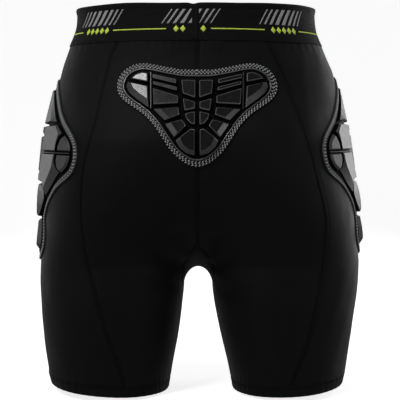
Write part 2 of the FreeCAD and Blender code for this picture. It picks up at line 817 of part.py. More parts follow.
def pad(prefix, view, grid, outer, inner, blocks):
    """A hollow blocked shell with its foam, the lining under the fabric and a stitched ring."""
    flatten = flat_side if view == "side" else list
    lay = {name: feature(f"{prefix}_lay_{name}", layer(grid, low, high))
           for name, low, high in PAD_LAYERS}

    def outline(name, *loops):
        return prism(f"{prefix}_{name}", [flatten(loop) for loop in loops], view)

    def common(name, layer_name, tool):
        return boolean("Part::MultiCommon", f"{prefix}_{name}", [lay[layer_name], tool])

    flange_outline = outline("outline", outer)
    core_outline = outline("core_outline", inner)
    void_outline = outline("void_outline", inset(inner, VOID_INSET))
    foam_outline = outline("foam_outline", inset(inner, FOAM_INSET))
    block_outlines = outline("block_outlines", *blocks)
    ring = cut(prefix + "_ring", outline("ring_out", inset(outer, STITCH_INSET)),
               outline("ring_in", inset(inner, -dim("stitch_margin"))))

    base = common("base", "base", flange_outline)
    core = common("core", "core", core_outline)
    top = common("top", "top", block_outlines)
    body = boolean("Part::MultiFuse", prefix + "_body", [base, core, top])
    void = common("void", "void", void_outline)
    return {
        "shell": cut(prefix + "_shell", body, void),
        "foam": common("foam", "foam", foam_outline),
        "lining": common("lining", "line", flange_outline),
        "stitching": common("stitching", "st", ring),
    }


tailbone = pad("tailbone_pad", "back", tail_grid(), whole(TAIL_OUT, left_side),
               whole(TAIL_IN, left_side), with_opposites(TAIL_BLOCKS, left_side))
for part_name, obj in tailbone.items():
    add_piece(obj, "tailbone_pad_" + part_name)

hip = pad("hip_pad", "side", hip_grid(), whole(HIP_OUT, front_side),
          whole(HIP_IN, front_side), with_opposites(HIP_BLOCKS, front_side) + HIP_SPINE)
for part_name, obj in hip.items():
    add_pair(obj, "hip_pad_" + part_name)

# ---------------------------------------------------------------- check, then write
doc.recompute()
bad = [(obj.Name, list(obj.State)) for obj in doc.Objects
       if "Invalid" in obj.State or "Error" in obj.State]
for obj in PIECES:
    shape = obj.Shape
    if shape.isNull() or not shape.isValid() or not shape.Solids or shape.Volume <= 0:
        bad.append((obj.Label, "null, invalid or empty shape"))
if bad:
    raise SystemExit(f"failed objects: {bad}")

os.makedirs("parts", exist_ok=True)
for obj in PIECES:
    solids = obj.Shape.Solids
    shape = solids[0] if len(solids) == 1 else Part.makeCompound(solids)
    shape.exportStep(os.path.join("parts", obj.Label + ".step"))
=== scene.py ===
"""Padded protective shorts in their worn shape, standing upright and open at the waist.

+X is the wearer's right, +Y the front and +Z up; the leg hems lie near z = 0.
Shapes are worked out in millimetres and turned into metres by add_piece().
Grids of points are arrays whose last axis is (x, y, z).
"""
import math
from collections import namedtuple
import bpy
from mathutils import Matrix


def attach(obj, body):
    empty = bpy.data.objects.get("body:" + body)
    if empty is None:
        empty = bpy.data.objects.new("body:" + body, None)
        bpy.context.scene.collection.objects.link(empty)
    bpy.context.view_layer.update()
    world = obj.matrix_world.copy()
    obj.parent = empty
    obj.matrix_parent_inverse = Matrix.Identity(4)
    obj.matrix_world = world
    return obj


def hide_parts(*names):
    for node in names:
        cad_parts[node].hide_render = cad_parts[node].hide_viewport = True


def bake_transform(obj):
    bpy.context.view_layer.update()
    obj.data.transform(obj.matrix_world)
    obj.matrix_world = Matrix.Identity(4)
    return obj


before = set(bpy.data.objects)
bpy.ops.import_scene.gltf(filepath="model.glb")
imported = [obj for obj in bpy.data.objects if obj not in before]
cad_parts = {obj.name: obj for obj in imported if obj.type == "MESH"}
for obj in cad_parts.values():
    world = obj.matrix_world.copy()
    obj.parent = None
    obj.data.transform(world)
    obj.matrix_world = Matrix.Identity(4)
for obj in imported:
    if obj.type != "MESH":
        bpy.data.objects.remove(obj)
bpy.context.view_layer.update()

from types import SimpleNamespace

import bpy
import numpy as np
from mathutils import Vector
from mathutils.geometry import delaunay_2d_cdt

PI = math.pi
MM = 0.001
SIDE = {1: "right", -1: "left"}

TOP = 450.0           # upper edge of the waistband
CENTRE_Y = 15.0
BAND_FOOT = 409.0     # lower edge of the waistband
PANEL_BOTTOM = 14.5   # just above the turned hem
PANEL_TOP = BAND_FOOT + 2.0
INNER_HEM = 39.4      # inner side of the leg at z = 0
HEM_TILT = math.radians(3.3)
GAP = 0.5             # between neighbouring panels
KNIT_THICK = 0.85


# ------------------------------------------------------------------ body surface
def spline(stations):
    """Natural cubic spline through (position, value) stations."""
    x, y = np.array(stations, float).T
    count = len(x)
    gap = np.diff(x)
    system = np.zeros((count, count))
    right = np.zeros(count)
    system[0, 0] = system[-1, -1] = 1
    for i in range(1, count - 1):
        system[i, i - 1:i + 2] = gap[i - 1], 2 * (gap[i - 1] + gap[i]), gap[i]
        right[i] = 6 * ((y[i + 1] - y[i]) / gap[i] - (y[i] - y[i - 1]) / gap[i - 1])
    bend = np.linalg.solve(system, right)

    def evaluate(v):
        v = np.clip(np.asarray(v, float), x[0] - 40, x[-1] + 40)
        i = np.clip(np.searchsorted(x, v, side="left") - 1, 0, count - 2)
        t = v - x[i]
        slope = (y[i + 1] - y[i]) / gap[i] - gap[i] * (2 * bend[i] + bend[i + 1]) / 6
        return (y[i] + t * slope + t * t * bend[i] / 2
                + t ** 3 * (bend[i + 1] - bend[i]) / (6 * gap[i]))

    return evaluate


# (z, value): |x| of the outer and inner side of the leg, depth behind and before the middle,
# y of the middle, and how softly the two legs melt together
TOP_DEPTH = 102.0
OUTER = spline([
    (0, 174.5), (40, 179.5), (80, 184.8), (120, 188.4), (150, 189.2), (170, 188.2), (200, 186.0),
    (240, 182.8), (280, 178.8), (320, 173.8), (350, 169.2), (375, 163.0), (395, 155.8),
    (410, 149.6), (424, 144), (438, 141.6), (TOP, 142.2)])
INNER = spline([
    (0, INNER_HEM), (30, 34.2), (60, 27.6), (90, 21.8), (120, 17.6), (145, 15.6), (165, 12),
    (185, 5), (210, -7), (240, -19), (280, -33), (320, -45), (370, -57), (410, -62), (TOP, -62)])
BACK = spline([
    (0, 78), (30, 80), (60, 83), (90, 86.5), (120, 88.5), (145, 88.5), (160, 90.5), (180, 97.5),
    (205, 108.5), (235, 119), (265, 125), (290, 125.5), (320, 121.5), (350, 115), (380, 109),
    (410, 104.5), (TOP, TOP_DEPTH)])
FRONT = spline([
    (0, 78), (30, 80), (60, 83.5), (90, 88), (120, 91.5), (150, 93), (200, 93.5), (250, 94.5),
    (300, 96), (350, 99), (400, 103), (TOP, TOP_DEPTH)])
MIDDLE = spline([(z, CENTRE_Y + shift) for z, shift in (
    (0, 5), (60, 3.5), (120, 1), (160, 0), (220, 0), (300, 0), (TOP, 0))])
SOFT = spline([
    (0, 16), (60, 16), (103, 17), (130, 40), (142, 56), (152, 67), (164, 84), (180, 100),
    (205, 113), (250, 120), (350, 120), (TOP, 120)])

# (z, |x|) of the rear side seams. The garment is slightly twisted, so the sides differ.
SEAM_BACK = {
    -1: spline([
        (0, 83.5), (14.9, 86.6), (48.7, 95.1), (72.5, 101.6), (95.9, 108.4), (118.9, 114.8),
        (141.5, 121.0), (164.4, 126.8), (187.5, 130.6), (210.4, 132.2), (233, 131.8),
        (255.2, 129.8), (271.7, 127.2), (288.2, 123.2), (310.1, 117.4), (332.1, 112.4),
        (354.5, 108.2), (377, 102.6), (399.4, 94.8), (410.3, 88.4), (TOP, 72)]),
    1: spline([
        (0, 101.5), (13.3, 105.2), (25.1, 109), (48.6, 117.3), (71.8, 125), (95.2, 130.6),
        (118.1, 134.6), (140.8, 137.8), (163.7, 140.8), (186.8, 143), (209.8, 143.8),
        (232.5, 140.9), (255, 135.9), (271.6, 132.2), (288.2, 128.6), (306.8, 122.8),
        (332.1, 113.6), (354.4, 105), (376.8, 95.4), (399, 85.3), (410, 79.6), (TOP, 64)]),
}
SEAM_FRONT = {1: SEAM_BACK[-1], -1: SEAM_BACK[1]}

# (z, shift in x) at the left outer, left inner, right inner and right outer side lines
SHIFTS = [
    [(0, 0.0), (20, -2.4), (60, -2.0), (107, 0.0), (150, 1.6), (200, 2.8), (240, 1.6),
     (300, 1.2), (350, 1.8), (380, 1.2), (410, -0.6), (TOP, 0.0)],
    [(0, 4.6), (20, 4.2), (60, 3.2), (107, 0.8), (135, 0.8), (160, 0.8), (200, 0.0), (TOP, 0.0)],
    [(0, 3.0), (20, 3.0), (60, 2.2), (107, 1.2), (135, 0.8), (160, 0.8), (200, 0.0), (TOP, 0.0)],
    [(0, -1.2), (20, 0.6), (60, 1.2), (107, 2.2), (155, 4.0), (200, 2.6), (225, 1.0),
     (250, -1.4), (300, -3.4), (350, -2.6), (380, -2.0), (400, -3.2), (TOP, -4.6)],
]

# One level: leg centre and half width, middle y, depths, softness, share of the waist oval
# and the oval's half axes
Section = namedtuple("Section", "leg_x leg_a centre_y front back soft mix waist_a waist_b")


def smooth(t):
    t = np.clip(t, 0.0, 1.0)
    return t * t * (3 - 2 * t)


def unit(v):
    return v / np.maximum(np.linalg.norm(v, axis=-1, keepdims=True), 1e-12)


def section_at(z):
    z = np.asarray(z, float)
    outer, inner, back, front = OUTER(z), INNER(z), BACK(z), FRONT(z)
    return Section((outer + inner) / 2, (outer - inner) / 2, MIDDLE(z), front, back,
                   np.maximum(SOFT(z), 5.0), smooth((z - 295) / 105.0), outer, (back + front) / 2)


def field(x, y, level):
    """Roughly the distance to the surface, negative inside: two legs turning into an oval."""
    across_x, deep_y = level.leg_a, np.where(y > level.centre_y, level.front, level.back)
    yy = ((y - level.centre_y) / deep_y) ** 2
    radius = np.sqrt(across_x * deep_y)
    left = (np.sqrt(((x + level.leg_x) / across_x) ** 2 + yy) - 1) * radius
    right = (np.sqrt(((x - level.leg_x) / across_x) ** 2 + yy) - 1) * radius
    t = np.maximum(level.soft - np.abs(left - right), 0) / level.soft
    legs = np.minimum(left, right) - t * t * level.soft / 4
    a, b = level.waist_a, level.waist_b
    oval = (np.sqrt((x / a) ** 2 + ((y - level.centre_y) / b) ** 2) - 1) * np.sqrt(a * b)
    return legs * (1 - level.mix) + oval * level.mix


def field_at(points):
    return field(points[..., 0], points[..., 1], section_at(points[..., 2]))


def normals(points):
    e = 0.35
    x, y, z = points[..., 0], points[..., 1], points[..., 2]
    level = section_at(z)
    return unit(np.stack([
        field(x + e, y, level) - field(x - e, y, level),
        field(x, y + e, level) - field(x, y - e, level),
        field(x, y, section_at(z + e)) - field(x, y, section_at(z - e))], -1))


def last_inside(is_inside, low, high):
    """Distance to the surface by halving: low lies inside, high outside."""
    for _ in range(34):
        middle = (low + high) / 2
        inside = is_inside(middle)
        low, high = np.where(inside, middle, low), np.where(inside, high, middle)
    return low


def shoot(from_x, from_y, z, dx, dy, far):
    """Where level rays from (from_x, from_y) leave the body."""
    level = section_at(z)
    reach = last_inside(lambda d: field(from_x + dx * d, from_y + dy * d, level) < 0,
                        np.zeros(z.shape), far * np.ones(z.shape))
    return np.stack([from_x + dx * reach, from_y + dy * reach, z], -1)


def ray(angle, z):
    """Surface of the right half at an angle round the leg centre; stops at the plane x = 0."""
    angle, z = np.broadcast_arrays(np.asarray(angle, float), np.asarray(z, float))
    level = section_at(z)
    dx, dy = np.cos(angle), np.sin(angle)
    far = np.where(dx < -1e-6, np.minimum(level.leg_x / np.maximum(-dx, 1e-9), 260.0), 260.0)
    return shoot(level.leg_x, level.centre_y, z, dx, dy, far)


def wall(x, z, facing):
    x, z = np.broadcast_arrays(np.asarray(x, float), np.asarray(z, float))
    return shoot(x, CENTRE_Y, z, 0, facing, 170.0)


def rear(x, z):
    return wall(x, z, -1)


def fore(x, z):
    return wall(x, z, 1)


def angle_of(points):
    level = section_at(points[..., 2])
    return np.arctan2(points[..., 1] - level.centre_y, points[..., 0] - level.leg_x)


def leg_ray(angle, z):
    """Like ray(), with the lowest 60 mm sheared so that the hem is square to the leg."""
    fade = 1 - smooth((np.asarray(z) - PANEL_BOTTOM) / 60.0)
    lift = (np.abs(ray(angle, z)[..., 0]) - INNER_HEM) * math.tan(HEM_TILT)
    return ray(angle, z + lift * fade)


# ------------------------------------------------------------------ gusset lines
# psi turns about the x axis: 0 points straight down, negative to the back
GUSSET_SPAN = math.radians(56)
GUSSET_TIP, GUSSET_MIDDLE = 1.6, 34.0   # half widths
GUSSET_ORIGIN = np.array([0.0, CENTRE_Y, 215.0])
GUSSET_STEPS = 14


def gusset_width(psi):
    return GUSSET_TIP + (GUSSET_MIDDLE - GUSSET_TIP) * (1 - np.abs(psi) / GUSSET_SPAN)


def gusset_grid(psi, extra=0.0):
    """Points along the body from x = 0 out to the gusset edge: array (psi, step, 3)."""
    direction = np.stack([0 * psi, np.sin(psi), -np.cos(psi)], -1)
    reach = last_inside(lambda d: field_at(GUSSET_ORIGIN + direction * d[:, None]) < 0,
                        np.zeros(len(psi)), np.full(len(psi), 150.0))
    point = GUSSET_ORIGIN + direction * reach[:, None]
    rows = [point]
    stride = (gusset_width(psi) + extra) / (GUSSET_STEPS * 4)
    x_axis = np.array([1.0, 0, 0])
    last = np.tile(x_axis, (len(psi), 1))
    for i in range(GUSSET_STEPS * 4):
        normal = normals(point)
        radial = np.sum(normal * direction, -1)
        step = x_axis * radial[:, None] - direction * normal[:, :1]
        last = unit(np.where(np.sum(step * last, -1, keepdims=True) < 0, -step, step))
        point = point + last * stride[:, None]
        # pull back onto the surface within the plane of this row
        for _ in range(3):
            normal = normals(point)
            pull = (x_axis * normal[:, :1]
                    + direction * np.sum(normal * direction, -1, keepdims=True))
            amount = field_at(point) / np.maximum(np.sum(pull * pull, -1), 1e-6) * 0.9
            point = point - pull * amount[:, None]
        if (i + 1) % 4 == 0:
            rows.append(point)
    return np.stack(rows, 1)


def inner_edge(sign, heights):
    """Angles where the front (+1) or back (-1) panel ends inside, and the gusset's z range."""
    extra = GAP / 2
    edge = gusset_grid(sign * GUSSET_SPAN * np.linspace(0, 1, 60), extra)[:, -1]
    edge = edge[np.argsort(edge[:, 2])]
    low, high = edge[0, 2], edge[-1, 2]
    angles = np.zeros(len(heights))
    for i, z in enumerate(heights):
        level = section_at(z)
        limit = PI - extra / float(level.leg_a)
        if z <= low:
            angles[i] = sign * limit
        elif z < high:
            x = np.interp(z, edge[:, 2], edge[:, 0])
            y = np.interp(z, edge[:, 2], edge[:, 1])
            angle = sign * math.atan2(y - float(level.centre_y), x - float(level.leg_x))
            angles[i] = sign * (limit if angle < 0 else min(angle, limit))
        else:
            t = float(smooth((z - high) / 5.0))
            x = max(extra, edge[-1, 0] * (1 - t) + extra * t)
            angles[i] = float(angle_of(wall(x, z, sign)))
    return angles, low, high


# ------------------------------------------------------------------ meshes
def even_out(vertices):
    """Shifts x between the four side lines: the two sides are not quite alike."""
    vertices = np.array(vertices, float).reshape(-1, 3)
    x, z = vertices[:, 0], np.clip(vertices[:, 2], 0, TOP)
    outer, inner = OUTER(z), np.maximum(INNER(z), 10.0)
    left_out, left_in, right_in, right_out = (
        np.interp(z, *np.array(table, float).T) for table in SHIFTS)
    width = outer - inner
    left = left_out + (left_in - left_out) * np.clip((x + outer) / width, 0, 1)
    middle = left_in + (right_in - left_in) * (x + inner) / (2 * inner)
    right = right_in + (right_out - right_in) * np.clip((x - inner) / width, 0, 1)
    vertices[:, 0] = x + np.where(x < -inner, left, np.where(x < inner, middle, right))
    return vertices


def follow(piece, side):
    """side 0 hangs the piece from the pelvis; 1 or -1 only bakes its transform into the mesh."""
    if side == 0:
        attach(piece, "pelvis")
    else:
        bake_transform(piece)


def add_piece(name, vertices, faces, material, slot, side, replaces=None, st=None,
              more_materials=(), material_index=None, sharp=None):
    """A mesh object. faces: an (n, 3) or (n, 4) array, or a list of such arrays.

    st: fabric coordinates in mm. sharp: edges above this angle in degrees stay crisp.
    """
    if isinstance(faces, np.ndarray):
        faces = [faces]
    mesh = bpy.data.meshes.new(name)
    vertices = even_out(vertices) * MM
    mesh.vertices.add(len(vertices))
    mesh.vertices.foreach_set("co", vertices.astype(np.float32).ravel())
    mesh.loops.add(sum(f.size for f in faces))
    corners = np.concatenate([f.ravel() for f in faces])
    mesh.loops.foreach_set("vertex_index", corners.astype(np.int32))
    mesh.polygons.add(sum(len(f) for f in faces))
    totals = np.concatenate([np.full(len(f), f.shape[1]) for f in faces]).astype(np.int32)
    starts = np.concatenate([[0], np.cumsum(totals)[:-1]]).astype(np.int32)
    mesh.polygons.foreach_set("loop_start", starts)
    mesh.polygons.foreach_set("loop_total", totals)
    if st is not None:
        st = np.concatenate([st, np.zeros((len(st), 1))], 1)
        attribute = mesh.attributes.new("st", "FLOAT_VECTOR", "POINT")
        attribute.data.foreach_set("vector", st.astype(np.float32).ravel())
    mesh.update(calc_edges=True)
    mesh.validate()
    mesh.polygons.foreach_set("use_smooth", [True] * len(mesh.polygons))
    for each in (material, *more_materials):
        mesh.materials.append(each)
    if material_index is not None:
        mesh.polygons.foreach_set("material_index", np.asarray(material_index, np.int32))
    piece = bpy.data.objects.new(name, mesh)
    bpy.context.scene.collection.objects.link(piece)
    if sharp is not None:
        mesh.set_sharp_from_angle(angle=math.radians(sharp))
    if replaces is not None:
        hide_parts(replaces)
    follow(piece, side)


def grid_faces(rows, cols, wrap_rows=False, wrap_cols=False):
    i = np.arange(rows if wrap_rows else rows - 1)[:, None]
    j = np.arange(cols if wrap_cols else cols - 1)[None, :]
    i2, j2 = (i + 1) % rows, (j + 1) % cols
    faces = np.stack([i * cols + j, i * cols + j2, i2 * cols + j2, i2 * cols + j], -1)
    return faces.reshape(-1, 4)


def slab(outer, inner):
    """Closed thin solid between two matching grids, its faces turned outward."""
    rows, cols = outer.shape[:2]
    under = rows * cols
    sheet = grid_faces(rows, cols)
    i, j = np.arange(rows - 1) * cols, np.arange(cols - 1)
    far_row, far_col = (rows - 1) * cols, cols - 1
    faces = np.concatenate([
        sheet,
        (sheet + under)[:, ::-1],
        np.stack([j + 1, j, j + under, j + 1 + under], -1),
        np.stack([j, j + 1, j + 1 + under, j + under], -1) + far_row,
        np.stack([i, i + cols, i + cols + under, i + under], -1),
        np.stack([i + cols, i, i + under, i + cols + under], -1) + far_col,
    ])
    r, c = rows // 2, cols // 2
    centre = outer[r, c]
    facing = np.cross(outer[r, c + 1] - centre, outer[r + 1, c] - centre)
    if np.dot(facing, centre - inner[r, c]) < 0:
        faces = faces[:, ::-1]
    return np.concatenate([outer.reshape(-1, 3), inner.reshape(-1, 3)]), faces


def fabric_st(u, v, copies=1):
    """Fabric coordinates of a grid, repeated for each layer of a slab."""
    return np.concatenate([np.stack(np.broadcast_arrays(u, v), -1).reshape(-1, 2)] * copies)


def merge(parts):
    """Joins (vertices, faces, ...) tuples into one, renumbering the faces."""
    starts = np.cumsum([0] + [len(part[0]) for part in parts[:-1]])
    faces = [np.concatenate([part[k] + start for part, start in zip(parts, starts)])
             for k in range(1, len(parts[0]))]
    return (np.concatenate([part[0] for part in parts]), *faces)


def run_length(points, axis):
    steps = np.linalg.norm(np.diff(points, axis=axis), axis=-1)
    start = np.zeros_like(np.take(steps, [0], axis=axis))
    return np.concatenate([start, np.cumsum(steps, axis=axis)], axis=axis)


def flip(points, side):
    """Mirrors points of the right half onto the left for side -1."""
    return points if side > 0 else points * np.array([-1.0, 1.0, 1.0])


def turn(faces, side):
    return faces if side > 0 else faces[:, ::-1]


def tube(path, radius, sides=5):
    """Round thread along an open polyline."""
    tangent = unit(np.gradient(path, axis=0))
    upright = np.abs(tangent[:, 2:3]) >= 0.9
    a = unit(np.cross(tangent, np.where(upright, [[1.0, 0, 0]], [[0, 0, 1.0]])))
    b = np.cross(tangent, a)
    angle = (np.arange(sides) * 2 * PI / sides)[None, :, None]
    ring = path[:, None] + radius * (a[:, None] * np.cos(angle) + b[:, None] * np.sin(angle))
    return ring.reshape(-1, 3), grid_faces(len(path), sides, wrap_cols=True)


def stitches(centres, along, normal, length, radius, sides=6):
    """Thread stitches: flattened capsules arching out of the surface."""
    along = unit(along)
    normal = unit(normal - along * np.sum(normal * along, 1, keepdims=True))
    across = np.cross(normal, along)
    # stations along one stitch: place, thickness and lift
    place_at = np.array([-1.0, -0.8, -0.35, 0.35, 0.8, 1.0])
    thick = np.array([0.25, 0.75, 1.0, 1.0, 0.75, 0.25])
    lift = np.array([-0.75, -0.15, 0.25, 0.25, -0.15, -0.75]) * radius
    angle = (np.arange(sides) + 0.5) * 2 * PI / sides
    rise = lift[:, None] + radius * 0.85 * thick[:, None] * np.sin(angle)[None]
    spread = radius * thick[:, None] * np.cos(angle)[None]
    vertices = (centres[:, None, None]
                + along[:, None, None] * (place_at * length / 2)[None, :, None, None]
                + normal[:, None, None] * rise[None, :, :, None]
                + across[:, None, None] * spread[None, :, :, None])
    starts = np.arange(len(centres)) * len(place_at) * sides
    faces = grid_faces(len(place_at), sides, wrap_cols=True)[None] + starts[:, None, None]
    return vertices.reshape(-1, 3), faces.reshape(-1, 4)


def curve_frame(curve, closed=False):
    """Tangent, surface normal and sideways direction along a curve on the body."""
    if closed:
        tangent = np.roll(curve, -1, 0) - np.roll(curve, 1, 0)
    else:
        tangent = np.gradient(curve, axis=0)
    tangent = unit(tangent)
    normal = normals(curve)
    normal = unit(normal - tangent * np.sum(normal * tangent, 1, keepdims=True))
    return tangent, normal, np.cross(normal, tangent)


def even(curve, step, closed=False):
    """A polyline resampled at even steps."""
    points = np.concatenate([curve, curve[:1]]) if closed else curve
    s = run_length(points, 0)
    count = max(int(round(s[-1] / step)), 3)
    t = np.linspace(0, s[-1], count + 1)
    if closed:
        t = t[:-1]
    return np.stack([np.interp(t, s, column) for column in points.T], 1)


def flatlock(curve):
    """Flatlock seam: two rows of needle stitches and a looper zigzag between, as relief."""
    half_width, underside = 2.1, -0.55
    needle_pitch, looper_pitch = 2.5, 1.9
    curve = even(curve, 0.5)
    _, normal, across = curve_frame(curve)
    s = run_length(curve, 0)
    t = np.array([-1, -0.93, -0.78, -0.62, -0.46, -0.3, -0.1,
                  0.1, 0.3, 0.46, 0.62, 0.78, 0.93, 1])
    needle_rows = np.exp(-((np.abs(t) - 0.62) / 0.16) ** 2)
    middle = np.exp(-(t / 0.4) ** 4)
    needle_wave = 0.35 + 0.65 * np.abs(np.sin(PI * s / needle_pitch)) ** 0.6
    looper = np.abs(np.sin(PI * (s[:, None] / looper_pitch + t[None] * 0.9)))
    height = (0.05 + 0.42 * needle_rows[None] * needle_wave[:, None] + 0.2 * middle[None] * looper
              - 0.5 * (np.abs(t)[None] > 0.97))
    flat = curve[:, None] + across[:, None] * (t * half_width)[None, :, None]
    return slab(flat + normal[:, None] * height[..., None], flat + normal[:, None] * underside)


# ------------------------------------------------------------------ materials
class Shader:
    """A new material with its Principled node, and shorthands for adding nodes."""

    def __init__(self, name):
        self.material = bpy.data.materials.new(name)
        self.material.use_nodes = True
        self.tree = self.material.node_tree
        self.bsdf = self.tree.nodes["Principled BSDF"]

    def feed(self, node, inputs):
        """Links sockets and sets numbers; colours are (r, g, b) tuples."""
        for key, value in inputs.items():
            if isinstance(value, bpy.types.NodeSocket):
                self.tree.links.new(value, node.inputs[key])
            else:
                rgba = isinstance(value, tuple)
                node.inputs[key].default_value = (*value, 1) if rgba else value

    def node(self, kind, inputs, **settings):
        node = self.tree.nodes.new(kind)
        for key, value in settings.items():
            setattr(node, key, value)
        self.feed(node, inputs)
        return node.outputs

    def surface(self, **inputs):
        """Principled inputs, with underscores for the spaces in their names."""
        self.feed(self.bsdf, {key.replace("_", " "): v for key, v in inputs.items()})

    def math(self, operation, *values):
        return self.node("ShaderNodeMath", dict(enumerate(values)), operation=operation)[0]

    def noise(self, scale, detail):
        return self.node("ShaderNodeTexNoise", {"Scale": scale, "Detail": detail})["Fac"]

    def mix(self, share, a, b):
        return self.node("ShaderNodeMix", {0: share, 6: a, 7: b}, data_type="RGBA")[2]

    def ramp(self, value, low, high, to_low=0.0, to_high=1.0):
        return self.node("ShaderNodeMapRange", {
            "From Min": low, "From Max": high, "To Min": to_low, "To Max": to_high,
            "Value": value})["Result"]

    def bump(self, height, strength, distance, **normal):
        return self.node("ShaderNodeBump", {
            "Strength": strength, "Distance": distance, "Height": height, **normal})["Normal"]

    def knit(self, pitch_x, pitch_y):
        """Rows of knit loops, as a height."""
        st = self.node("ShaderNodeAttribute", {}, attribute_name="st")["Vector"]
        x, y, _ = self.node("ShaderNodeSeparateXYZ", {0: st})
        column = self.math("MULTIPLY", x, 2 * PI / pitch_x)
        row = self.math("MULTIPLY", y, 2 * PI / pitch_y)
        loop = self.math("ABSOLUTE", self.math("SINE", column))
        bent_row = self.math("ADD", row, self.math("MULTIPLY", loop, 1.9))
        wave = self.math("SINE", bent_row)
        return self.math("ADD", self.math("MULTIPLY", wave, 0.6), self.math("MULTIPLY", loop, 0.6))


def scaled(color, factor):
    return tuple(min(1.0, c * factor) for c in color)


def fabric_material(name, base, light, rough, sheen, spec, pitch=(0.9, 0.75), strength=0.25):
    """pitch: width and height of a knit loop in mm; strength: of the loop relief."""
    shader = Shader(name)
    loops = shader.knit(*pitch)
    cloud = shader.noise(scale=14.0, detail=3.0)
    fuzz = shader.noise(scale=900.0, detail=2.0)
    color = shader.mix(shader.ramp(cloud, 0.3, 0.7), base, light)
    color = shader.mix(shader.ramp(fuzz, 0.35, 0.75, to_high=0.35), color, scaled(light, 2.2))
    fuzz_normal = shader.bump(fuzz, strength=0.12, distance=0.0004)
    shader.surface(
        Base_Color=color,
        Roughness=shader.ramp(cloud, 0.3, 0.7, rough - 0.05, rough + 0.06),
        Specular_IOR_Level=spec,
        Sheen_Weight=sheen,
        Sheen_Roughness=0.45,
        Sheen_Tint=(0.85, 0.88, 0.95),
        Normal=shader.bump(loops, strength=strength, distance=0.0002, Normal=fuzz_normal))
    return shader.material


def thread_material(name, base, rough=0.55, sheen=0.2, spec=0.3):
    shader = Shader(name)
    fuzz = shader.noise(scale=1600.0, detail=2.0)
    shader.surface(
        Base_Color=shader.mix(shader.ramp(fuzz, 0.3, 0.7), scaled(base, 0.7), base),
        Roughness=rough,
        Specular_IOR_Level=spec,
        Sheen_Weight=sheen,
        Normal=shader.bump(fuzz, strength=0.4, distance=0.0002))
    return shader.material


def pad_material(name, base, rough=0.3, coat=0.3, spec=0.5):
    """Moulded plastic; its base colour is lighter along raised edges, a painted highlight where
    light catches them.
    """
    shader = Shader(name)
    cloud = shader.noise(scale=35.0, detail=4.0)
    grain = shader.noise(scale=1400.0, detail=3.0)
    pointiness = shader.node("ShaderNodeNewGeometry", {})["Pointiness"]
    # painted highlight: pointy raised edges get a lighter base colour
    edge = shader.ramp(pointiness, 0.5, 0.58)
    color = shader.mix(shader.ramp(cloud, 0.3, 0.7), scaled(base, 0.85), scaled(base, 1.15))
    color = shader.mix(shader.math("MULTIPLY", edge, 0.12), color, scaled(base, 2.6))
    shader.surface(
        Base_Color=color,
        Roughness=shader.ramp(cloud, 0.25, 0.75, rough - 0.05, rough + 0.09),
        Specular_IOR_Level=spec,
        Coat_Weight=coat,
        Coat_Roughness=0.18,
        Normal=shader.bump(grain, strength=0.10, distance=0.0002))
    return shader.material


KNIT = fabric_material("knit_black", base=(0.0028, 0.0028, 0.0031),
                       light=(0.0044, 0.0044, 0.0049), rough=0.58, sheen=0.045, spec=0.09)
KNIT_HEM = fabric_material("knit_hem", base=(0.0028, 0.0028, 0.0031),
                           light=(0.0048, 0.0048, 0.0053), rough=0.56, sheen=0.026, spec=0.08,
                           strength=0.4)
ELASTIC = fabric_material("elastic_black", base=(0.0040, 0.0040, 0.0044),
                          light=(0.0066, 0.0066, 0.0072), rough=0.7, sheen=0.03, spec=0.06,
                          pitch=(1.3, 0.9), strength=0.5)
MESH_LINING = fabric_material("mesh_lining", base=(0.012, 0.012, 0.013),
                              light=(0.022, 0.022, 0.024), rough=0.8, sheen=0.1, spec=0.1,
                              pitch=(2.4, 2.4), strength=1.0)
THREAD = thread_material("thread_black", base=(0.0026, 0.0026, 0.0030), sheen=0.03, spec=0.08)
PAD_THREAD = thread_material("thread_grey", base=(0.50, 0.505, 0.515), rough=0.4, sheen=0.1)
PAD = pad_material("pad_skin", base=(0.0058, 0.0059, 0.0063), rough=0.21, coat=0.2, spec=0.35)
# painted highlight: light grey for the narrow bevels of the tailbone pad's blocks, standing in for
# the light they catch
PAD_EDGE_PAINTED_HIGHLIGHT = pad_material("pad_edge_painted_highlight", base=(0.085, 0.086, 0.089))
# painted light: a lighter copy of the pad skin for the broad facets, which catch light from below
PAD_FACET_PAINTED_LIGHT = pad_material("pad_facet_painted_light", base=(0.034, 0.0345, 0.036), rough=0.35, coat=0.15)
# painted light: the hip pads' skin is a lighter copy of the pad skin, for their side-lit brightness
PAD_HIP_PAINTED_LIGHT = pad_material("pad_skin_hip_painted_light", base=(0.055, 0.0555, 0.057), rough=0.40, coat=0.0, spec=0.16)
# painted light: a much lighter copy of the hip pad skin for steep block sides that face away from
# the lamps
HIP_SIDE_PAINTED_LIGHT = pad_material("pad_side_painted_light", base=(0.11, 0.111, 0.114), rough=0.4, coat=0.0, spec=0.3)
FLANGE = pad_material("pad_flange", base=(0.0013, 0.0013, 0.0015), rough=0.45, coat=0.04, spec=0.25)
FLANGE_HIP = pad_material("pad_flange_hip", base=(0.045, 0.0455, 0.047), rough=0.5, coat=0.04,
                          spec=0.3)
# the rim lip is grey; its lighter base is partly a painted highlight along the rounded rim
PAD_LIP_GREY_AND_HIGHLIGHT = pad_material("pad_lip_grey_and_highlight", base=(0.085, 0.0855, 0.088), rough=0.22, coat=0.5)
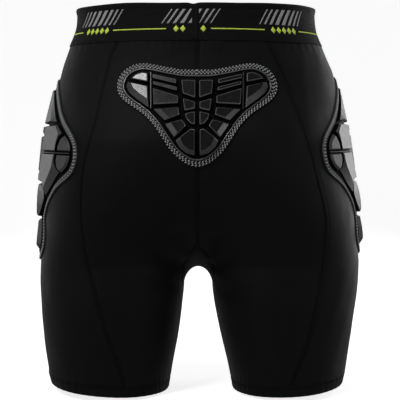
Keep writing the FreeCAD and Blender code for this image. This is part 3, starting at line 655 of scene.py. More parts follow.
# painted shade: near black for block walls and flange grooves, where shade falls
PAD_RECESS_PAINTED_SHADE = pad_material("pad_recess_painted_shade", base=(0.0010, 0.0010, 0.0011), rough=0.8, coat=0.0, spec=0.05)
FLOOR = pad_material("pad_floor", base=(0.0014, 0.0014, 0.0015), rough=0.75, coat=0.0, spec=0.07)
FOAM = pad_material("pad_foam", base=(0.10, 0.10, 0.11), rough=0.8, coat=0.0, spec=0.2)
WOVEN = dict(rough=0.65, sheen=0.05, spec=0.2, pitch=(1.1, 0.8), strength=0.5)
GREY = fabric_material("woven_grey", base=(0.25, 0.25, 0.255), light=(0.34, 0.34, 0.35), **WOVEN)
LIME = fabric_material("woven_lime", base=(0.56, 0.74, 0.07), light=(0.68, 0.88, 0.10), **WOVEN)
WHITE = fabric_material("label_white", base=(0.62, 0.62, 0.60), light=(0.72, 0.72, 0.70),
                        rough=0.7, sheen=0.1, spec=0.2, pitch=(0.7, 0.7), strength=0.4)

# ------------------------------------------------------------------ relief of the stretched fabric
# a sum of random plane waves, 26 to 75 mm long
rng = np.random.default_rng(11)
WAVES = unit(rng.normal(size=(14, 3)))
WAVES *= 2 * PI / rng.uniform(26, 75, size=(14, 1))
WAVE_PHASE = rng.uniform(0, 2 * PI, size=14)
WAVE_SIZE = rng.uniform(0.5, 1.0, size=14)


def ripple(points):
    waves = np.sin(points @ WAVES.T + WAVE_PHASE) * WAVE_SIZE
    return waves.sum(-1) / WAVE_SIZE.sum() * 2.2


def box_mask(v, low, high, soft):
    return smooth((v - low) / soft + 0.5) * smooth((high - v) / soft + 0.5)


def relief(points, *seam_distances):
    """Height of the fabric off its stretched shape."""
    x, y, z = points[..., 0], points[..., 1] - CENTRE_Y, points[..., 2]
    abs_x = np.abs(x)
    height = 0.42 * ripple(points)
    # drag lines that fan out from the crotch, at the back (1) and front (-1)
    radius = np.hypot(abs_x, z - 146)
    fan_angle = np.arctan2(z - 140, abs_x + 6)
    for back, amount in ((1, 0.75), (-1, 1.2)):
        mask = smooth((-back * y - 8) / 30.0)
        fan = np.sin(fan_angle * 8.5 + 0.8 * back + 0.5 * np.sign(x) + radius * 0.012)
        ring = np.exp(-((radius - 42) / 34.0) ** 2)
        height = height + mask * amount * fan * ring * smooth((fan_angle + 0.9) / 0.5)
    # soft crease under the seat
    crease = np.exp(-((z - 156 + 0.0009 * (abs_x - 75) ** 2) / 7.5) ** 2)
    height = height - 1.1 * crease * box_mask(abs_x, 26, 128, 30) * smooth((-y - 25) / 25)
    # fine gathers under the waistband and at the hem
    height = height + 0.22 * np.sin(np.arctan2(y, x) * 74) * smooth((z - 392) / 16)
    leg_angle = np.arctan2(y, abs_x - 105)
    gathers = np.sin(leg_angle * 46 + 1.3 * np.sin(leg_angle * 5))
    height = height + 0.16 * gathers * smooth((34 - z) / 18)
    # calm where the tailbone pad and the hip pads lie on the fabric
    tail = box_mask(abs_x, -200, 96, 14) * box_mask(z, 262, 388, 14) * smooth((-y - 30) / 20)
    hip = (smooth((abs_x - 118) / 16.0) * box_mask(z, 150, 376, 16)
           * box_mask(np.abs(y), -200, 104, 16))
    calm = np.clip(tail + hip, 0, 1)
    height = height * (1 - calm) - 0.12 * calm
    for distance in seam_distances:
        height = height - 0.65 * np.exp(-(distance / 2.5) ** 2)
    return np.clip(height, -2.6, 1.8)


# ------------------------------------------------------------------ panels
STEP = 2.0
panel_z = np.arange(PANEL_BOTTOM - 1.0, PANEL_TOP + 0.01, STEP)
panel_z[-1] = PANEL_TOP
back_edge, GUSSET_LOW, GUSSET_BACK_TOP = inner_edge(-1, panel_z)
front_edge, _, GUSSET_FRONT_TOP = inner_edge(1, panel_z)


def seam_angle(surface, table):
    """Angle of a side seam at each level, and the angle that half a gap takes there."""
    seam = surface(table(panel_z), panel_z)
    level = section_at(panel_z)
    radius = np.hypot(seam[:, 0] - level.leg_x, seam[:, 1] - level.centre_y)
    return angle_of(seam), GAP / 2 / radius


def add_panel(kind, side, start, end, width):
    cols = int(width / STEP) + 1
    angle = start[:, None] + (end - start)[:, None] * np.linspace(0, 1, cols)[None]
    right_half = leg_ray(angle, panel_z[:, None])
    s = run_length(right_half, 1)
    points, normal = flip(right_half, side), flip(normals(right_half), side)
    height = relief(points, s, s[:, -1:] - s)[..., None]
    solid = slab(points + normal * height, points + normal * (height - KNIT_THICK))
    name = f"{kind}_{SIDE[side]}"
    add_piece(f"knit_{name}", *solid, KNIT, "knit", side, replaces=name,
              st=fabric_st(s, run_length(right_half, 0), copies=2))


for side in (1, -1):
    back, back_gap = seam_angle(rear, SEAM_BACK[side])
    front, front_gap = seam_angle(fore, SEAM_FRONT[side])
    add_panel("side_panel", side, front - front_gap, back + back_gap, width=205)
    add_panel("back_panel", side, back - back_gap, back_edge, width=150)
    add_panel("front_panel", side, front + front_gap, front_edge, width=150)

# gusset, in two halves that meet at the centre line
gusset = gusset_grid(np.linspace(-GUSSET_SPAN, GUSSET_SPAN, 61), -GAP / 2)
gusset_normals = normals(gusset)
gusset_normals[:, 0, 0] = 0
gusset_normals = unit(gusset_normals)
gusset_s = run_length(gusset, 1)
height = (0.1 - 0.4 * np.exp(-((gusset_s[:, -1:] - gusset_s) / 2.6) ** 2))[..., None]
for side in (1, -1):
    points, normal = flip(gusset, side), flip(gusset_normals, side)
    solid = slab(points + normal * height, points + normal * (height - KNIT_THICK))
    add_piece(f"knit_gusset_{SIDE[side]}", *solid, KNIT, "knit", side,
              replaces="crotch_gusset", st=fabric_st(run_length(gusset, 0), gusset_s, copies=2))


# ------------------------------------------------------------------ seams
seam_z = np.arange(PANEL_BOTTOM + 0.5, PANEL_TOP - 3, 1.0)
inseam_z = np.arange(PANEL_BOTTOM + 0.5, GUSSET_LOW - 1.0, 1.0)
INSEAM = leg_ray(PI - 1e-4, inseam_z)
GUSSET_EDGE = gusset_grid(np.linspace(-GUSSET_SPAN * 0.985, GUSSET_SPAN * 0.985, 140))[:, -1]


def seam_curve(surface, table):
    return leg_ray(angle_of(surface(table(seam_z), seam_z)), seam_z)


for side in (1, -1):
    for kind, curve in (("side_back_seam", seam_curve(rear, SEAM_BACK[side])),
                        ("side_front_seam", seam_curve(fore, SEAM_FRONT[side])),
                        ("inseam", INSEAM),
                        ("gusset_seam", GUSSET_EDGE)):
        vertices, faces = flatlock(curve)
        name = f"{kind}_{SIDE[side]}"
        add_piece(f"flatlock_{name}", flip(vertices, side), turn(faces, side), THREAD, "thread",
                  side, replaces=name)
for where, surface, bottom in (("back", rear, GUSSET_BACK_TOP), ("front", fore, GUSSET_FRONT_TOP)):
    curve = surface(0.0, np.arange(bottom + 1, PANEL_TOP - 3, 1.0))
    add_piece(f"flatlock_centre_{where}", *flatlock(curve), THREAD, "thread", 0,
              replaces=f"centre_{where}_seam")

# ------------------------------------------------------------------ leg hems
# turned edge in section: (stand-off from the body, height)
HEM_PROFILE = [
    (-1.9, 13.6), (-2.0, 8), (-2.0, 3), (-1.9, 1.0), (-1.45, 0.25), (-0.95, 0.0), (-0.4, 0.2),
    (-0.05, 0.9), (0.1, 2.0), (0.14, 4.0), (0.12, 6.5), (0.04, 8.4), (-0.16, 9.3), (-0.16, 9.9),
    (0.06, 10.7), (-0.16, 11.8), (-0.2, 12.5), (0.0, 13.3), (0.02, 14.2), (-0.25, 14.9),
    (-0.8, 15.2), (-1.3, 14.6)]
COVERSTITCH_Z = (9.6, 12.1)
hem_count = 640
hem_angle = np.linspace(-PI, PI, hem_count, endpoint=False)


def add_hem(side):
    gathers = 0.16 * np.sin(hem_angle * 46 + 1.3 * np.sin(hem_angle * 5))
    wave = 0.35 * np.sin(hem_angle * 3 + 0.7 * side) + 0.22 * np.sin(hem_angle * 7 + side)
    rows = []
    for off, z in HEM_PROFILE:
        ring = leg_ray(hem_angle, z)
        pucker = gathers + 0.10 * np.sin(hem_angle * 155) * math.exp(-((z - 11) / 3.0) ** 2)
        out = off + pucker * (0.4 + 0.6 * (off > -1))
        ring = ring + normals(ring) * out[:, None]
        ring[:, 2] += wave * (z < 6) * 0.35
        rows.append(ring)
    grid = flip(np.stack(rows), side)
    faces = grid_faces(len(rows), hem_count, wrap_rows=True, wrap_cols=True)
    heights = np.array([z for _, z in HEM_PROFILE])[:, None]
    add_piece(f"knit_leg_hem_{SIDE[side]}", grid, turn(faces, -side), KNIT_HEM, "knit", side,
              replaces=f"leg_hem_{SIDE[side]}", st=fabric_st(run_length(grid, 1), heights))


def add_coverstitch(side):
    rows = []
    for z in COVERSTITCH_Z:
        loop = leg_ray(np.linspace(-PI, PI, 900, endpoint=False), z)
        curve = even(loop, 2.9, closed=True)
        along, normal, _ = curve_frame(curve, closed=True)
        rows.append(stitches(curve + normals(curve) * 0.12, along, normal,
                             length=2.3, radius=0.34))
    vertices, faces = merge(rows)
    add_piece(f"coverstitch_{SIDE[side]}", flip(vertices, side), turn(faces, side), THREAD,
              "thread", side, replaces=f"hem_stitch_{SIDE[side]}")


for side in (1, -1):
    add_hem(side)
    add_coverstitch(side)

# ------------------------------------------------------------------ waistband
band_count = 760
band_angle = np.linspace(-PI, PI, band_count, endpoint=False)


def band_point(t, z, off, wave=1.0):
    """Waistband surface: t is the angle, -pi/2 at the centre of the back."""
    t, z = np.broadcast_arrays(np.asarray(t, float), np.asarray(z, float))
    a = OUTER(np.minimum(z, TOP))
    b = (BACK(np.minimum(z, TOP)) + FRONT(np.minimum(z, TOP))) / 2
    normal = unit(np.stack([np.cos(t) / a, np.sin(t) / b, 0 * t], -1))
    roll = (wave * (0.35 * np.sin(5 * t + 0.6) + 0.25 * np.sin(9 * t + 2.0))
            * smooth((z - 412) / 30))
    ripples = 0.2 * np.sin(3 * t + 1.1) + 0.2 * np.sin(8 * t)
    raised_sides = 0.9 * np.cos(t) ** 2 + 0.8 * smooth((np.abs(np.cos(t)) - 0.2) / 0.4)
    raised_right = 0.7 * smooth((np.cos(t) - 0.3) / 0.3)
    join_dip = 1.3 * np.exp(-((t + PI / 2 + 0.03) / 0.03) ** 2)
    lift = (wave * (ripples + raised_sides + raised_right - join_dip)
            * smooth((z - 425) / 20))
    points = np.stack([a * np.cos(t), MIDDLE(z) + b * np.sin(t), z + lift], -1)
    return points + normal * (np.asarray(off) + roll)[..., None]


def band_loft(profile, wave=1.0):
    """Grid and faces of a closed (z, stand-off) section swept round the waist."""
    grid = np.stack([band_point(band_angle, z, off, wave) for z, off in profile])
    return grid, grid_faces(len(profile), band_count, wrap_rows=True, wrap_cols=True)


# ribbed outside, rolled lip, ribbed inside and foot: (z, stand-off)
RIB_PITCH = 2.2
rib_z = np.arange(BAND_FOOT + 0.2, 442.0, 0.55)
band_profile = (
    [(z, 1.0 + 0.11 * math.sin(2 * PI * z / RIB_PITCH)) for z in rib_z]
    + [(443.0, 1.05), (444.4, 1.35), (446.0, 1.75), (447.6, 1.85), (449.0, 1.55), (449.9, 0.85),
       (450.1, 0.0), (449.8, -0.9), (448.9, -1.5), (447.4, -1.75), (445.5, -1.6), (443.5, -1.2)]
    + [(z, -1.05 - 0.08 * math.sin(2 * PI * z / RIB_PITCH)) for z in rib_z[::-1]]
    + [(BAND_FOOT - 0.5, -0.7), (BAND_FOOT - 0.8, 0.0), (BAND_FOOT - 0.5, 0.7)])
band, faces = band_loft(band_profile)
band_z = np.array([z for z, _ in band_profile])[:, None]
add_piece("elastic_waistband", band, faces, ELASTIC, "elastic", 0, replaces="waistband",
          st=fabric_st(run_length(band, 1), band_z))

# distance round the waist from the centre of the back, against the angle
round_angle = np.linspace(-PI / 2, PI / 2 + PI, 2000)
round_s = run_length(band_point(round_angle, 430.0, 1.0, wave=0), 0)
ROUND = round_s[-1]


def at_round(s):
    return np.interp(np.mod(s, ROUND), round_s, round_angle)


# Woven trim. Shapes are four corners (s, z) in order round the shape.
JOIN = -2.0               # s of the join of the elastic
JOIN_CLEAR = 3.9
REPEATS = 7
REPEAT = ROUND / REPEATS
STRIPE_LOW, STRIPE_HIGH, STRIPE_LEAN, STRIPE_GAP = 427.4, 442.9, 11.0, 4.5
STRIPE_WIDTHS = (1.6, 2.4, 3.4, 4.6, 4.6, 3.4, 2.4, 1.6)
LOZENGES, LOZENGE_START, LOZENGE_PITCH = 5, 17.0, 7.4
LOZENGE_Z, LOZENGE_A, LOZENGE_B = 421.4, 3.1, 3.8
LINE_START, LINE_OVERRUN, LINE_LOW, LINE_HIGH = 55.0, 6.0, 420.9, 422.1


def stripes(s):
    """Leaning stripes that widen and narrow again."""
    shapes = []
    for width in STRIPE_WIDTHS:
        shapes.append([(s, STRIPE_LOW), (s + width, STRIPE_LOW),
                       (s + width + STRIPE_LEAN, STRIPE_HIGH), (s + STRIPE_LEAN, STRIPE_HIGH)])
        s += width + STRIPE_GAP
    return shapes


def lozenges_and_line(s):
    shapes = []
    for i in range(LOZENGES):
        c = s + LOZENGE_START + i * LOZENGE_PITCH
        shapes.append([(c - LOZENGE_A, LOZENGE_Z), (c, LOZENGE_Z - LOZENGE_B),
                       (c + LOZENGE_A, LOZENGE_Z), (c, LOZENGE_Z + LOZENGE_B)])
    start, end = s + LINE_START, s + REPEAT + LINE_OVERRUN
    shapes.append([(start, LINE_LOW), (end, LINE_LOW), (end, LINE_HIGH), (start, LINE_HIGH)])
    return shapes


def clear_of_join(shapes):
    """Stripes and lines are cut where they meet the join; lozenges there are left out."""
    start, end = JOIN - JOIN_CLEAR, JOIN + JOIN_CLEAR
    kept = []
    for shape in shapes:
        turns = round(sum(s for s, _ in shape) / 4 / ROUND)
        shape = [(s - turns * ROUND, z) for s, z in shape]
        low, high = min(s for s, _ in shape), max(s for s, _ in shape)
        (left0, z0), (right0, _), (right1, z1), (left1, _) = shape
        if high <= start or low >= end:
            kept.append(shape)
        elif z1 - z0 > 10 or high - low > 20:
            lean = (left1 - left0) / (z1 - z0)
            if left0 < start:
                cut = z1 if left1 <= start else z0 + (start - left0) / lean
                rise = lean * (cut - z0)
                kept.append([(left0, z0), (min(right0, start), z0),
                             (min(right0 + rise, start), cut), (left0 + rise, cut)])
            if right1 > end:
                cut = z0 if right0 >= end else z1 - (right1 - end) / lean
                fall = lean * (z1 - cut)
                kept.append([(max(left1 - fall, end), cut), (right1 - fall, cut),
                             (right1, z1), (max(left1, end), z1)])
    return kept


def add_inlay(name, shapes, material, base=1.02, thick=0.2, sunk=0.25, step=1.4):
    solids, st = [], []
    for a, b, c, d in clear_of_join(shapes):
        rows = max(int(max(abs(b[0] - a[0]), abs(c[0] - d[0])) / step) + 2, 3)
        cols = max(int(max(abs(d[1] - a[1]), abs(c[1] - b[1])) / step) + 2, 3)
        u, v = np.linspace(0, 1, rows)[:, None], np.linspace(0, 1, cols)[None]
        s, z = ((a[k] * (1 - u) + b[k] * u) * (1 - v) + (d[k] * (1 - u) + c[k] * u) * v
                for k in (0, 1))
        t = at_round(s)
        solids.append(slab(band_point(t, z, base + thick), band_point(t, z, base - sunk)))
        st.append(fabric_st(s, z, copies=2))
    add_piece(name, *merge(solids), material, "elastic", 0, st=np.concatenate(st))


repeat_starts = [-40.0 + i * REPEAT for i in range(REPEATS)]
add_inlay("inlay_grey", [q for s in repeat_starts for q in stripes(s)], GREY)
add_inlay("inlay_lime", [q for s in repeat_starts for q in lozenges_and_line(s)], LIME)

# the join: ends of the elastic overlapped and bar-tacked
join_s = np.linspace(-3.6, 3.6, 13)
join_t = at_round(JOIN + join_s)
join_z = np.arange(BAND_FOOT + 1.0, 448.6, 0.9)[:, None]
join_height = 1.25 + 0.55 * np.exp(-((join_s / 2.9) ** 6))
solid = slab(band_point(join_t, join_z, join_height), band_point(join_t, join_z, 0.7))
add_piece("elastic_join", *solid, ELASTIC, "elastic", 0, replaces="waistband_join",
          st=fabric_st(join_s, join_z, copies=2))

tack_z = np.arange(BAND_FOOT + 3, 447, 2.4)
tacks = []
for offset in (-2.1, 2.1):
    t = at_round(JOIN + offset)
    centres = band_point(t, tack_z, 1.75)
    tacks.append(stitches(centres, np.tile([0, 0, 1.0], (len(tack_z), 1)),
                          band_point(t, tack_z, 2.75) - centres, length=2.0, radius=0.3))
add_piece("join_stitches", *merge(tacks), THREAD, "thread", 0)

# overlocked seam inside, where the body hangs from the elastic: core, zigzag and two threads
CORE_PROFILE = [(404.6, -1.3), (404.8, -1.9), (407, -2.25), (411, -2.25), (413.2, -1.9),
                (413.4, -1.2), (409, -1.05)]
lock_t = at_round(np.arange(0, ROUND, 1.3))
zigzag = np.where(np.arange(len(lock_t)) % 2 == 0, 405.6, 412.6)
core, faces = band_loft(CORE_PROFILE, wave=0)
overlock = merge([
    (core.reshape(-1, 3), faces),
    tube(band_point(lock_t, zigzag, -2.3, wave=0), 0.36),
    tube(band_point(lock_t, 405.2, -1.55, wave=0), 0.4),
    tube(band_point(lock_t, 413.0, -1.55, wave=0), 0.4)])
add_piece("overlock_waist", *overlock, THREAD, "thread", 0, replaces="waistband_seam")

# blank care label inside the back
x, z = np.meshgrid(np.linspace(-12, 12, 25), np.linspace(379, 410.5, 30))
points = rear(x, z)
normal = normals(points)
inward = (3.0 + 2.2 * smooth((405 - z) / 26) + 0.5 * np.sin(x / 5) * smooth((400 - z) / 20))
inward = inward[..., None]
solid = slab(points - normal * inward, points - normal * (inward + 0.45))
add_piece("care_label", *solid, WHITE, "label", 0, replaces="inner_label",
          st=fabric_st(x, z, copies=2))

# ------------------------------------------------------------------ pad outlines and blocks
# Half outlines (across, z). Across is x for the tailbone pad; for the hip pads it is the
# distance round the leg from its outermost line, positive towards the back.
TAIL_OUTLINE = [
    (0, 376.2), (17.3, 376.3), (28.4, 378.2), (39.4, 380.3), (50.5, 382.6), (58.9, 383.5),
    (67.2, 382.8), (75.6, 379.7), (82.8, 374.2), (87.7, 366.4), (89.7, 358.5), (88.9, 352),
    (85, 345.4), (79, 340), (69.6, 333.6), (59.6, 326.8), (51.2, 319), (43.5, 309.6),
    (36.5, 299), (29.6, 289), (21.5, 280.8), (12.9, 274.6), (5.4, 271.2), (0, 270.4)]
TAIL_RIM = [
    (0, 366.8), (16.8, 367.3), (27.8, 369.2), (38.9, 371.4), (49.8, 373.9), (59.2, 375.2),
    (68, 373.1), (74.3, 368.8), (78.4, 362.3), (78.9, 355.5), (75.9, 349.4), (69.1, 343.4),
    (59.7, 336.8), (50.4, 329.2), (42.5, 320.9), (35.8, 312), (29.4, 303.3), (24, 295.8),
    (17.8, 289.2), (10.7, 284), (5.3, 281.6), (0, 280.8)]
HIP_OUTLINE = [
    (0, 370), (9, 368.5), (18, 363), (27, 355), (43, 342), (56, 331), (73, 319.5), (91, 308.5),
    (102, 299.5), (108, 291), (110.5, 283), (110, 273.5), (106.5, 264), (98.5, 256.8),
    (87, 250.6), (75, 244.5), (63, 236), (51, 227.3), (40, 217.5), (32.5, 208), (32.5, 200.5),
    (35.5, 191), (36, 182), (33, 174), (26, 166), (15, 159), (0, 156)]
HIP_RIM = [
    (0, 359.5), (8, 358.5), (15, 355), (26, 347), (38.5, 337), (53, 325.4), (68.5, 315),
    (84.5, 305.4), (95.5, 298), (101.4, 291.2), (103.8, 282.4), (103.4, 273.8), (99.4, 266.8),
    (90.4, 260.6), (80.4, 254.8), (69.6, 247.2), (58, 237.6), (46, 227.6), (36, 218),
    (27.4, 208), (25.6, 200), (28.4, 190.7), (29.4, 182), (27.2, 174.5), (20, 168.5), (10, 164),
    (0, 162.6)]
# Blocks: corners (across, z), facets, height. Facets: {edge: (bevel width, drop)}, "high" for
# a height at each corner, or "top" and "drop" for a free top outline and its wall drops.
TAIL_BLOCKS = [
    ([(53.2, 370.8), (60.1, 371.8), (66.6, 369.3), (71.9, 364.3), (53.2, 360.2)],
     {0: (1.6, 1.0), 1: (1.8, 1.0), 2: (1.8, 1.0)}, 8.4),
    ([(53.2, 355.2), (75, 361), (76.6, 355), (73.6, 348.8), (66.9, 342.6), (52.2, 331.9)],
     {1: (5.0, 2.2), 2: (6.4, 2.6), 3: (6.4, 2.6), 4: (6.4, 2.6)}, 8.6),
    ([(22.3, 363.2), (48.1, 369.6), (48.1, 364.8), (22.7, 358.4)], {}, 7.8),
    ([(22, 354.6), (47.8, 361.4), (47.7, 357.6), (21.5, 350.2)], {}, 7.8),
    ([(20.4, 344), (47.7, 352.9), (46.6, 334.6), (20.4, 336.1)], {}, 8.4),
    ([(20.3, 331.5), (47.2, 330.2), (34.7, 318.2), (18.7, 323.8)], {1: (5.0, 2.2)}, 8.4),
    ([(16.3, 318.8), (34.6, 314.8), (24.3, 301.6), (11.9, 312.7)], {1: (5.4, 2.2)}, 8.4),
    ([(2.1, 362), (16.9, 362.2), (15.5, 346.9), (2.1, 341.8)], {}, 8.6),
    ([(2.3, 337.4), (15.4, 341.2), (13.5, 327.8), (2.3, 330.1)], {}, 8.6),
    ([(2.4, 327.1), (13.1, 324.9), (11.8, 319.8), (7.6, 315), (2.4, 313.4)], {}, 8.6),
    ([(2.5, 309.2), (7.3, 309.6), (23.2, 299), (18.7, 291.6), (11.4, 286.1), (2.7, 284)],
     {2: (5.2, 2.2), 3: (5.2, 2.2), 4: (5.2, 2.2)}, 8.6),
    # low rib in a wide groove
    ([(49.5, 372.4), (51.2, 372.8), (50.6, 330.8), (49.2, 331.6)], {}, 5.6),
]
HIP_BLOCKS = [
    ([(2, 356.6), (11, 354.8), (26, 344.8), (39, 334.6), (52, 324.2), (61, 318.4), (2, 316.6)],
     {1: (4, 1.0), 2: (7, 1.8), 3: (8, 2.4), 4: (7, 2.4),
      "high": [4.8, 4.8, 5.8, 6.8, 7.4, 7.8, 8.4]}, 7.8),
    ([(19.6, 314.2), (68.4, 313.8), (83.4, 304.9), (79.4, 301.4), (75.8, 295), (75.6, 286),
      (19.6, 285.6)], {1: (2.4, 1.2), 6: (9, 3.0)}, 8.0),
    ([(19.6, 281.8), (76, 282), (75.6, 274.8), (78.4, 267.6), (84.6, 262.2), (77.6, 256.8),
      (67.8, 247.8), (59.4, 240.4), (53.6, 235.2), (50.2, 239.8), (41.4, 250.2), (19.6, 250.2)],
     {"top": [(20.8, 280.8), (74.8, 280.8), (74.4, 274.8), (74.2, 269), (72.6, 266.2),
              (66.4, 260.6), (59, 253.2), (52.4, 246.4), (50.8, 243.6), (49, 243),
              (41.4, 251.4), (20.8, 251.4)],
      "drop": [0.8, 0.8, 0.8, 2.2, 4.2, 4.2, 4.2, 3.4, 2.6, 1.0, 0.8, 0.8]}, 8.0),
    ([(87.6, 303), (96.4, 297.6), (101, 291.8), (102.8, 286), (79.2, 286.2), (79.2, 291.4),
      (82.2, 298.4)], {0: (2.6, 1.6), 1: (2.6, 1.6), 2: (2.6, 1.6)}, 6.6),
    ([(79.4, 281.6), (103, 281.2), (102.2, 274.8), (98.6, 268.2), (90.2, 262.2), (82.4, 267.4),
      (79, 274.6)], {1: (2.6, 1.6), 2: (2.6, 1.6), 3: (2.6, 1.6)}, 6.6),
]
# low ribs end to end in the level groove
GROOVE_RIB = 9.1
HIP_BLOCKS += [
    ([(a, 284.4), (a + GROOVE_RIB, 284.4), (a + GROOVE_RIB, 283.2), (a, 283.2)], {}, 5.0)
    for a in np.arange(19.5, 98, GROOVE_RIB)]
# blocks down the middle of the hip pad, not mirrored
HIP_SPINE = [
    ([(-16, 313.8), (16, 313.8), (16, 307.4), (0, 304), (-16, 307.4)],
     {1: (5, 3.8), 4: (5, 3.8)}, 8.8),
    ([(-16.4, 303.6), (0, 300.2), (16.4, 303.6), (16.4, 266), (8.6, 261.4), (-8.6, 261.4),
      (-16.4, 266)], {2: (7, 4.4), 6: (7, 4.4)}, 9.6),
    ([(-15, 262), (-7.6, 258), (7.6, 258), (15, 262), (15, 250.2), (-15, 250.2)],
     {3: (5, 4.0), 5: (5, 4.0)}, 9.2),
    ([(-30, 246.8), (38, 246.8), (46.4, 238), (46.8, 232), (37.6, 222.4), (29, 213.6),
      (19, 209.2), (-15, 209.2), (-22.6, 213.6), (-29.3, 222.4), (-36.5, 232), (-36.2, 238)],
     {"top": [(-16, 245.8), (18, 245.8), (24, 240), (26, 233), (25, 224), (21, 214.6),
              (16, 211), (-13, 211), (-17, 214.6), (-19.5, 224), (-20.5, 233), (-19, 240)],
      "drop": [1.2, 2.0, 3.6, 3.6, 3.4, 2.6, 1.6, 1.6, 2.6, 3.4, 3.6, 3.0]}, 9.0),
    ([(-19, 204), (19, 204), (23, 192), (24.2, 182), (21.4, 174.6), (14, 170.2), (-11, 170.2),
      (-16.7, 174.6), (-18.9, 182), (-18, 192)],
     {1: (4.5, 4.6), 2: (4.5, 4.6), 3: (4.5, 4.6), 4: (4, 3.4), 5: (4, 2.4), 6: (4, 3.4),
      7: (4.5, 4.6), 8: (4.5, 4.6), 9: (4.5, 4.6)}, 6.9),
]


def opposite(s):
    return -s


def fore_side(s):
    """The front half of a hip pad is shorter than the rear half."""
    return -(s if s <= 20.0 else 20.0 + (s - 20.0) * 0.78)


def mirror_points(points, mirror):
    return [(mirror(a), b) for a, b in points]


def both_halves(half, mirror):
    """A closed outline from its half."""
    return half + mirror_points([p for p in reversed(half) if p[0] > 1e-6], mirror)


def mirror_blocks(blocks, mirror):
    return [(mirror_points(corners, mirror),
             {k: mirror_points(v, mirror) if k == "top" else v for k, v in facets.items()},
             height) for corners, facets, height in blocks]


# Table of angles against (z, s), s being the distance round the leg
HIP_GRID = 1.5
hip_z = np.arange(144.0, 385.0, HIP_GRID)
hip_angle = np.radians(np.arange(-114.0, 114.1, HIP_GRID))
hip_run = run_length(ray(hip_angle[None], hip_z[:, None]), 1)
middle = len(hip_angle) // 2
hip_run = hip_run[:, middle:middle + 1] - hip_run  # positive towards the back
hip_s = np.arange(-124.0, 130.1, HIP_GRID)
HIP_ANGLES = np.stack([np.interp(hip_s, row[::-1], hip_angle[::-1]) for row in hip_run])


def hip_surface(s, z):
    i = np.clip((z - hip_z[0]) / HIP_GRID, 0, len(hip_z) - 1.001)
    j = np.clip((s - hip_s[0]) / HIP_GRID, 0, len(hip_s) - 1.001)
    i0, j0 = i.astype(int), j.astype(int)
    u, v = i - i0, j - j0
    angle = (HIP_ANGLES[i0, j0] * (1 - u) * (1 - v) + HIP_ANGLES[i0 + 1, j0] * u * (1 - v)
             + HIP_ANGLES[i0, j0 + 1] * (1 - u) * v + HIP_ANGLES[i0 + 1, j0 + 1] * u * v)
    return ray(angle, z)


# The right pad sits further forward and higher than the left one.
HIP_SHIFT = 5.5


def worn_right(s, z):
    stretch = np.where(z < 283, (283 - z) * 0.038, (z - 283) * 0.02)
    return hip_surface(s - HIP_SHIFT, z + 1.5 + stretch)


def worn_left(s, z):
    return hip_surface(s + HIP_SHIFT, z)


# ------------------------------------------------------------------ flat outlines
def smooth_closed(outline, step):
    """Closed centripetal Catmull-Rom curve through outline points, evenly resampled."""
    points = np.array(outline, float)
    count = len(points)
    t = np.linspace(0, 1, 14, endpoint=False)[:, None]
    curve = []
    for i in range(count):
        p0, p1, p2, p3 = (points[(i + k) % count] for k in (-1, 0, 1, 2))
        d01, d12, d23 = (max(np.linalg.norm(b - a), 1e-6) ** 0.5
                         for a, b in ((p0, p1), (p1, p2), (p2, p3)))
        m1 = ((p1 - p0) / d01 - (p2 - p0) / (d01 + d12) + (p2 - p1) / d12) * d12
        m2 = ((p2 - p1) / d12 - (p3 - p1) / (d12 + d23) + (p3 - p2) / d23) * d12
        curve.append((2 * p1 - 2 * p2 + m1 + m2) * t ** 3
                     + (-3 * p1 + 3 * p2 - 2 * m1 - m2) * t ** 2 + m1 * t + p1)
    return even(np.concatenate(curve), step, closed=True)


def double_area(points):
    """Twice the enclosed area, positive when anticlockwise."""
    x, y = points.T
    return float(np.sum(x * np.roll(y, -1) - np.roll(x, -1) * y))


def outward(curve):
    """Outward unit normals of an anticlockwise curve, lightly smoothed."""
    tangent = unit(np.roll(curve, -1, 0) - np.roll(curve, 1, 0))
    normal = np.stack([tangent[:, 1], -tangent[:, 0]], 1)
    for _ in range(6):
        normal = unit(normal + 0.5 * (np.roll(normal, 1, 0) + np.roll(normal, -1, 0)))
    return normal


def distance_to(curve, directions, target):
    """Distance from each point of a curve along its direction to the closed target."""
    edge = np.roll(target, -1, 0) - target
    reach = np.full(len(curve), np.nan)
    for i, (dx, dy) in enumerate(directions):
        gap = target - curve[i]
        det = dx * -edge[:, 1] + dy * edge[:, 0]
        det = np.where(np.abs(det) < 1e-9, 1e-9, det)
        t = (gap[:, 0] * -edge[:, 1] + gap[:, 1] * edge[:, 0]) / det
        u = (dx * gap[:, 1] - dy * gap[:, 0]) / det
        hit = (t > 0.5) & (t < 30) & (u >= -0.01) & (u <= 1.01)
        if hit.any():
            reach[i] = t[hit].min()
    reach[np.isnan(reach)] = np.nanmedian(reach)
    for _ in range(8):
        reach = 0.5 * reach + 0.25 * (np.roll(reach, 1) + np.roll(reach, -1))
    return reach


